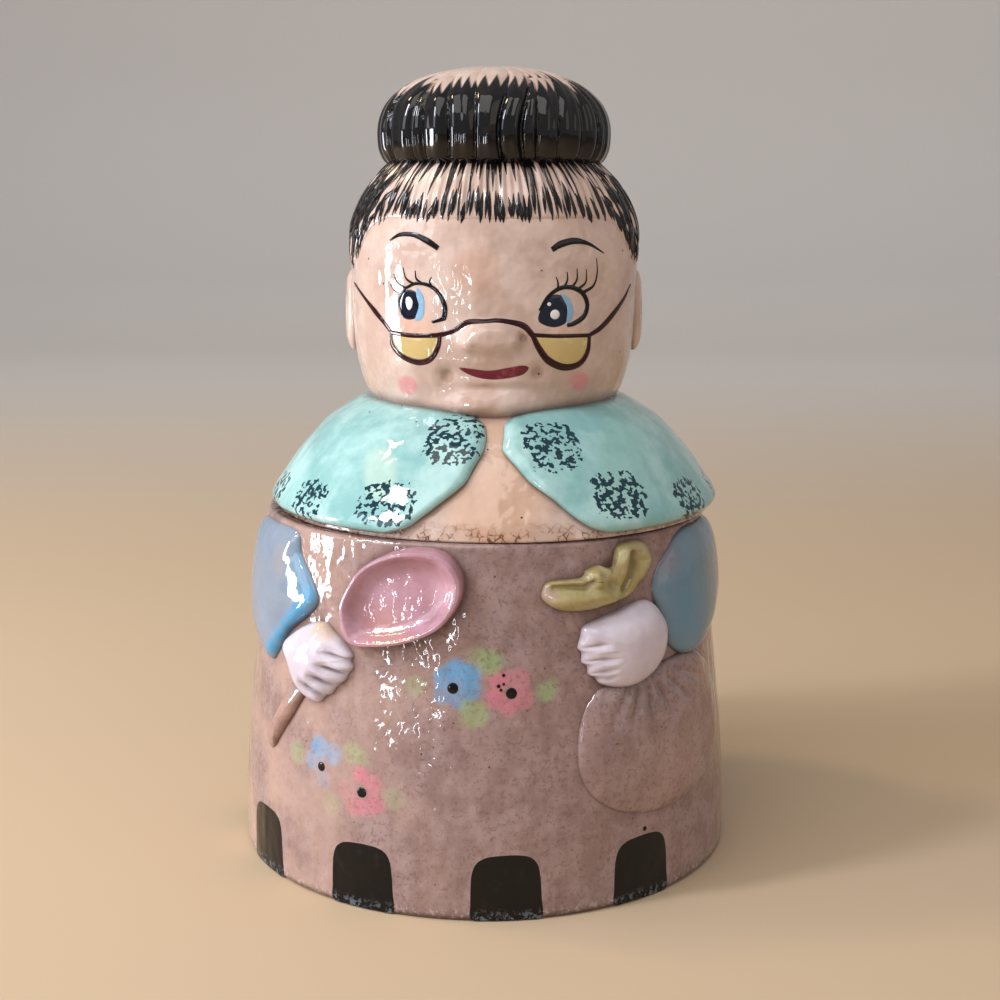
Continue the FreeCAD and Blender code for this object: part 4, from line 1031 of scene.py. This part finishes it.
# The ears: flat shells of the casting beside the cheeks, hollowed a little in front.
EAR_ACROSS, EAR_DEEP, EAR_TALL = 2.6, 4.3, 9.0
EAR_X, EAR_Y, EAR_Z = 31.1, 0.5, 121
ear_turn = np.linspace(0, 2 * math.pi, 72, endpoint=False)[None, :]
ear_tilt = np.linspace(-math.pi / 2, math.pi / 2, 44)[:, None]
for side, name, node in ((-1, "right_ear_shell", "right_ear"), (1, "left_ear_shell", "left_ear")):
    x = EAR_ACROSS * np.cos(ear_tilt) * np.cos(ear_turn)
    y = EAR_DEEP * np.cos(ear_tilt) * np.sin(ear_turn)
    z = EAR_TALL * np.sin(ear_tilt) + 0 * ear_turn
    dent = 1.1 * np.exp(-(((y + 1.2) / 2.2) ** 2 + ((z - 0.8) / 4.6) ** 2)) * (x > 0)
    ear_rings = np.stack([LID_SHIFT + side * (EAR_X + x - dent), EAR_Y + y - 0.9 * (z / EAR_TALL) ** 2,
                          EAR_Z + z], axis=-1)
    ear = clay(name, ear_rings, flesh_glaze, craze=np.zeros(ear_rings.shape[:2]),
               spray=airbrush([], ear_rings[..., 0], ear_rings[..., 2]))
    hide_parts(node)
    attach(ear, "lid")

# The drawn features: eyes, brows, lashes and spectacles, brushed on in thick colour over the peach.
# Outlines and brows are black, the spectacles are dark maroon with olive half-moon glasses.
black_line = brushed_colour("black_line_colour", "#0C0A0C", "#221815", gloss=0.35)
maroon_line = brushed_colour("maroon_spectacles", "#2C0609", "#4A1E18", gloss=0.35)
LEFT_EYE = [(-19.6, 122.4), (-20, 124.6), (-18.6, 126.9), (-16.2, 128), (-13.4, 127.6), (-11.4, 126),
            (-10.3, 123.6), (-10.4, 121.4), (-12.2, 120.4), (-15, 120.3), (-17.8, 120.9)]
RIGHT_EYE = [(9, 120.2), (9.3, 122.6), (10.8, 125.2), (13.2, 127), (15.8, 127.2), (18.2, 126), (19.3, 123.6),
             (18.6, 121.2), (16.4, 119.8), (13.6, 119.4), (10.8, 119.4)]
face_lines = [
    (LEFT_EYE[2:8] + [(-10.9, 120.9), (-13, 120.2)], [0.5, 0.6, 0.7, 0.9, 0.9, 0.5]),
    (LEFT_EYE[:3][::-1] + [(-19.2, 121.4)], [0.5, 0.6, 0.4]),
    (RIGHT_EYE[1:9] + [(15, 119.5)], [0.6, 0.7, 0.8, 0.95, 0.9, 0.6]),
    ([(-21.8, 136.6), (-19.6, 137.8), (-16.6, 137.8), (-13.8, 136.6), (-11.6, 135.2)],
     [0.3, 0.7, 0.8, 1.1, 0.9]),
    ([(11.7, 134.9), (13.6, 136), (16.6, 136.6), (19.6, 135.9), (22.8, 134)], [0.9, 1.2, 1.1, 0.6, 0.2]),
    ([(-19.4, 125.6), (-20.8, 126.2), (-21.8, 127.6)], [0.45, 0.3, 0.2]),
    ([(-18.4, 127), (-20.2, 128), (-21, 129.8)], [0.45, 0.35, 0.2]),
    ([(-16.8, 127.9), (-18.4, 129), (-19, 131.2)], [0.5, 0.35, 0.2]),
    ([(-15, 128), (-16.2, 129), (-16.4, 130.6)], [0.5, 0.35, 0.2]),
    ([(-13, 127.6), (-13.4, 128.4), (-13, 129.4)], [0.4, 0.3, 0.15]),
    ([(13, 127.1), (13, 128.2), (12.6, 129.4)], [0.4, 0.3, 0.15]),
    ([(14.4, 127.5), (15, 128.8), (14.9, 130.4)], [0.45, 0.3, 0.15]),
    ([(16, 127.3), (17, 128.8), (17, 131)], [0.45, 0.35, 0.15]),
    ([(17.4, 126.9), (18.9, 128.2), (19, 130.8)], [0.5, 0.35, 0.15]),
    ([(18.6, 126.2), (20.6, 127.4), (21.4, 130), (21.2, 133)], [0.6, 0.45, 0.3, 0.15]),
]
# How many times wider the spectacles' lines are drawn than the widths in their list.
SPECTACLE_WIDTH = 1.4
glasses = [
    ([(-30.4, 127.2), (-27.8, 124.4), (-25.2, 121.6), (-23.3, 119.6), (-21.9, 118)],
     [0.35, 0.5, 0.8, 0.6, 0.5]),
    ([(-21.8, 117.7), (-18, 117.3), (-14, 117.4), (-11.2, 117.7), (-8.4, 118.6), (-5.6, 120.3), (-2, 120.6),
      (1.2, 120.7), (5.7, 119.7), (7.8, 117.7)], [0.5, 0.6, 0.6, 0.6, 0.6, 0.8, 0.7, 0.7, 0.8, 0.7]),
    ([(-21.7, 117.6), (-21.4, 115), (-19.2, 112.9), (-16, 111.9), (-13.4, 112.6), (-11.8, 115),
      (-11.3, 117.6)], [0.5, 0.6, 0.7, 0.8, 0.7, 0.6, 0.5]),
    ([(7.8, 117.6), (9.2, 114.9), (11.2, 112.4), (14.4, 110.9), (17.6, 111.4), (19.4, 113.8),
      (19.8, 117.2)], [0.6, 0.8, 0.9, 0.9, 0.8, 0.7, 0.6]),
    ([(7.9, 117.7), (12, 117.4), (16, 117.3), (19.8, 117.2)], [0.5, 0.5, 0.5, 0.5]),
    ([(19.8, 117.2), (22.4, 118.6), (25, 121), (27.6, 124), (29.4, 127)], [0.5, 0.7, 0.8, 0.6, 0.3]),
]
strokes("eye_and_brow_lines", on_face, face_lines, black_line)
strokes("spectacle_lines", on_face,
        [(places, np.multiply(widths, SPECTACLE_WIDTH)) for places, widths in glasses], maroon_line)


def coloured_pads(name, outlines, material, thick=0.1):
    """Patches of thick colour on the face."""
    piece = clay(name, [pad(on_face, outline, 56, 7, thick) for outline in outlines], material)
    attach(piece, "lid")


coloured_pads("irises", [
    [(-19.7, 121.8), (-19.9, 124.4), (-18.7, 126.4), (-16.9, 126.6), (-15.6, 125.2), (-15.4, 122.8),
     (-16.4, 120.9), (-18.4, 120.6)],
    [(9.1, 120.4), (9.4, 122.8), (11, 125.2), (13.2, 125.8), (15, 124.2), (15.5, 121.8), (14.6, 119.9),
     (12, 119.2)],
], brushed_colour("navy_iris", "#0C1428", "#16202F"))
coloured_pads("iris_crescents", [
    [(-16.2, 127.2), (-14.8, 125.6), (-14.5, 123.2), (-14.9, 121), (-16.6, 120.2), (-15.9, 121.8),
     (-15.7, 123.8), (-16.2, 125.6)],
    [(13.4, 126.2), (15.2, 125.2), (16.3, 123), (16, 120.8), (14.8, 119.6), (15, 121.4), (14.9, 123.4),
     (14.2, 125)],
], brushed_colour("pale_blue", "#8DB7D8", "#A9C4D6"), thick=0.13)
coloured_pads("eye_lights", [
    [(-18.4, 125), (-17.6, 125.3), (-16.9, 124.4), (-17.1, 123), (-17.8, 122.4), (-18.4, 123.4)],
    circle(12.4, 121.8, 1.05), circle(11.2, 123.9, 0.42),
], brushed_colour("white_dots", "#E9E6E2", "#DAD4CE"), thick=0.2)
coloured_pads("spectacle_glasses", [
    [(-21.4, 117.4), (-21, 115), (-19, 113.2), (-16, 112.2), (-13.6, 112.9), (-12.2, 115), (-11.6, 117.3),
     (-16.5, 117.2)],
    [(8.6, 117.3), (9.8, 114.9), (11.6, 112.7), (14.4, 111.3), (17.3, 111.8), (19, 114), (19.4, 116.9),
     (14, 117.1)],
], brushed_colour("olive_glasses", "#CBB176", "#D8C898"))
coloured_pads("lips", [
    [(-7.5, 111.0), (-4.6, 110.7), (-1.8, 110.4), (0.6, 110.6), (3.2, 111.1), (6.0, 111.5), (7.1, 110.9),
     (5.9, 109.6), (3.6, 109.0), (0, 108.6), (-3.2, 108.9), (-5.6, 109.7)],
], brushed_colour("dark_red_lips", "#6C1029", "#8A3A48"), thick=0.22)

# The strainer keeps its CAD form: pressed aluminium sheet, satin from its press.
sheet_metal = bpy.data.materials.new("pressed_aluminium")
sheet_metal.use_nodes = True
metal_tree = sheet_metal.node_tree
metal_tree.nodes.clear()
metal_place = put(metal_tree, "ShaderNodeTexCoord").outputs["Object"]
metal_grain = put(metal_tree, "ShaderNodeTexNoise", {"Vector": metal_place, "Scale": 1 / (0.5 * MM)})
metal_skin = put(metal_tree, "ShaderNodeBump", {
    "Height": metal_grain, "Distance": 0.01 * MM, "Strength": 1.0})
metal_shader = put(metal_tree, "ShaderNodeBsdfPrincipled", {
    "Base Color": rgb("#C4C5C8"), "Metallic": 1.0, "Roughness": 0.34, "Normal": metal_skin})
put(metal_tree, "ShaderNodeOutputMaterial", {"Surface": metal_shader})
strainer_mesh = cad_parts["strainer"].data
strainer_mesh.materials.clear()
strainer_mesh.materials.append(sheet_metal)

# The studio: a pale floor that curves up behind, painted paler towards the back where the lamps reach it
# less, a low window of light at her right with two narrow gaps beside it, a higher pane, a warm lamp and
# fill, and soft light all round.
floor_profile = [(-3.0, 0.0), (1.2, 0.0), (1.5, 0.05), (1.75, 0.3), (1.85, 0.8), (1.85, 3.0)]
floor_mesh = bpy.data.meshes.new("studio_floor")
floor_mesh.from_pydata(
    [(x, y, z) for y, z in floor_profile for x in (-4, 4)], [],
    [(2 * i, 2 * i + 1, 2 * i + 3, 2 * i + 2) for i in range(len(floor_profile) - 1)])
floor_mesh.polygons.foreach_set("use_smooth", [True] * len(floor_mesh.polygons))
floor = bpy.data.objects.new("studio_floor", floor_mesh)
bpy.context.scene.collection.objects.link(floor)
paper = bpy.data.materials.new("pale_paper")
paper.use_nodes = True
paper_tree = paper.node_tree
paper_tree.nodes.clear()
floor_place = put(paper_tree, "ShaderNodeTexCoord").outputs["Object"]
floor_depth = put(paper_tree, "ShaderNodeSeparateXYZ", {"Vector": floor_place}).outputs["Y"]
# Painted light: the paper turns from tan to near white towards the back, standing for light that the lamps
# give too little of there.
back_painted_lighter = put(paper_tree, "ShaderNodeMapRange", {"Value": floor_depth, "From Min": 0.2, "From Max": 1.1},
               interpolation_type="SMOOTHSTEP")
paper_with_painted_light = put(paper_tree, "ShaderNodeMix", {SHARE: back_painted_lighter, UNDER: rgb("#CBB294"), OVER: rgb("#F0EAE4")},
            data_type="RGBA")
paper_shader = put(paper_tree, "ShaderNodeBsdfPrincipled", {"Base Color": paper_with_painted_light, "Roughness": 0.8})
put(paper_tree, "ShaderNodeOutputMaterial", {"Surface": paper_shader})
floor_mesh.materials.append(paper)


def softbox(name, azimuth, elevation, distance, width, height, watts, hexcode="#FFFFFF"):
    """A rectangular light that looks at the jar, degrees from her front towards +X."""
    lamp = bpy.data.lights.new(name, "AREA")
    lamp.shape, lamp.size, lamp.size_y = "RECTANGLE", width, height
    lamp.energy, lamp.color = watts, rgb(hexcode)[:3]
    light = bpy.data.objects.new(name, lamp)
    bpy.context.scene.collection.objects.link(light)
    side, up = math.radians(azimuth), math.radians(elevation)
    away = Vector((math.sin(side) * math.cos(up), -math.cos(side) * math.cos(up), math.sin(up)))
    light.location = Vector((0, 0, 0.09)) + away * distance
    light.rotation_euler = away.to_track_quat("Z", "Y").to_euler()


softbox("window", -86, 1, 0.62, 0.11, 0.2, 1.7, "#F0F5FF")
softbox("window_gap", -42, -2.3, 0.62, 0.022, 0.13, 0.26, "#F0F5FF")
softbox("door_gap", -25, -2, 0.7, 0.016, 0.13, 0.2, "#F0F5FF")
softbox("window_top", -64, 40, 0.8, 0.1, 0.22, 2.6, "#F0F5FF")
softbox("window_glow", -66, 24, 1.0, 0.5, 0.5, 2.2, "#F0F5FF")
softbox("lamp", -102, 53, 0.8, 0.1, 0.1, 1.1, "#FFE9B8")
softbox("overhead", -25, 60, 1.1, 0.8, 0.8, 3.6, "#FFFAF2")
softbox("warm_fill", 55, 25, 1.4, 0.9, 0.9, 1.5, "#FFF0DC")
world = bpy.data.worlds.new("soft_room")
world.use_nodes = True
world.node_tree.nodes["Background"].inputs["Color"].default_value = rgb("#EEEEF2")
world.node_tree.nodes["Background"].inputs["Strength"].default_value = 0.42
bpy.context.scene.world = world
bpy.context.scene.view_settings.view_transform = "Standard"

CAMERA_BACK, CAMERA_UP, CAMERA_LOOKS_DOWN = 0.3559, 0.1453, 12.94
lens = bpy.data.cameras.new("view_from_photo")
lens.lens, lens.sensor_width, lens.shift_x, lens.shift_y = 56.8, 36.0, 0.015, 0.06
camera = bpy.data.objects.new("view_from_photo", lens)
camera.location = (0, -CAMERA_BACK, CAMERA_UP)
camera.rotation_euler = (math.radians(90 - CAMERA_LOOKS_DOWN), 0, 0)
bpy.context.scene.collection.objects.link(camera)
bpy.context.scene.camera = camera
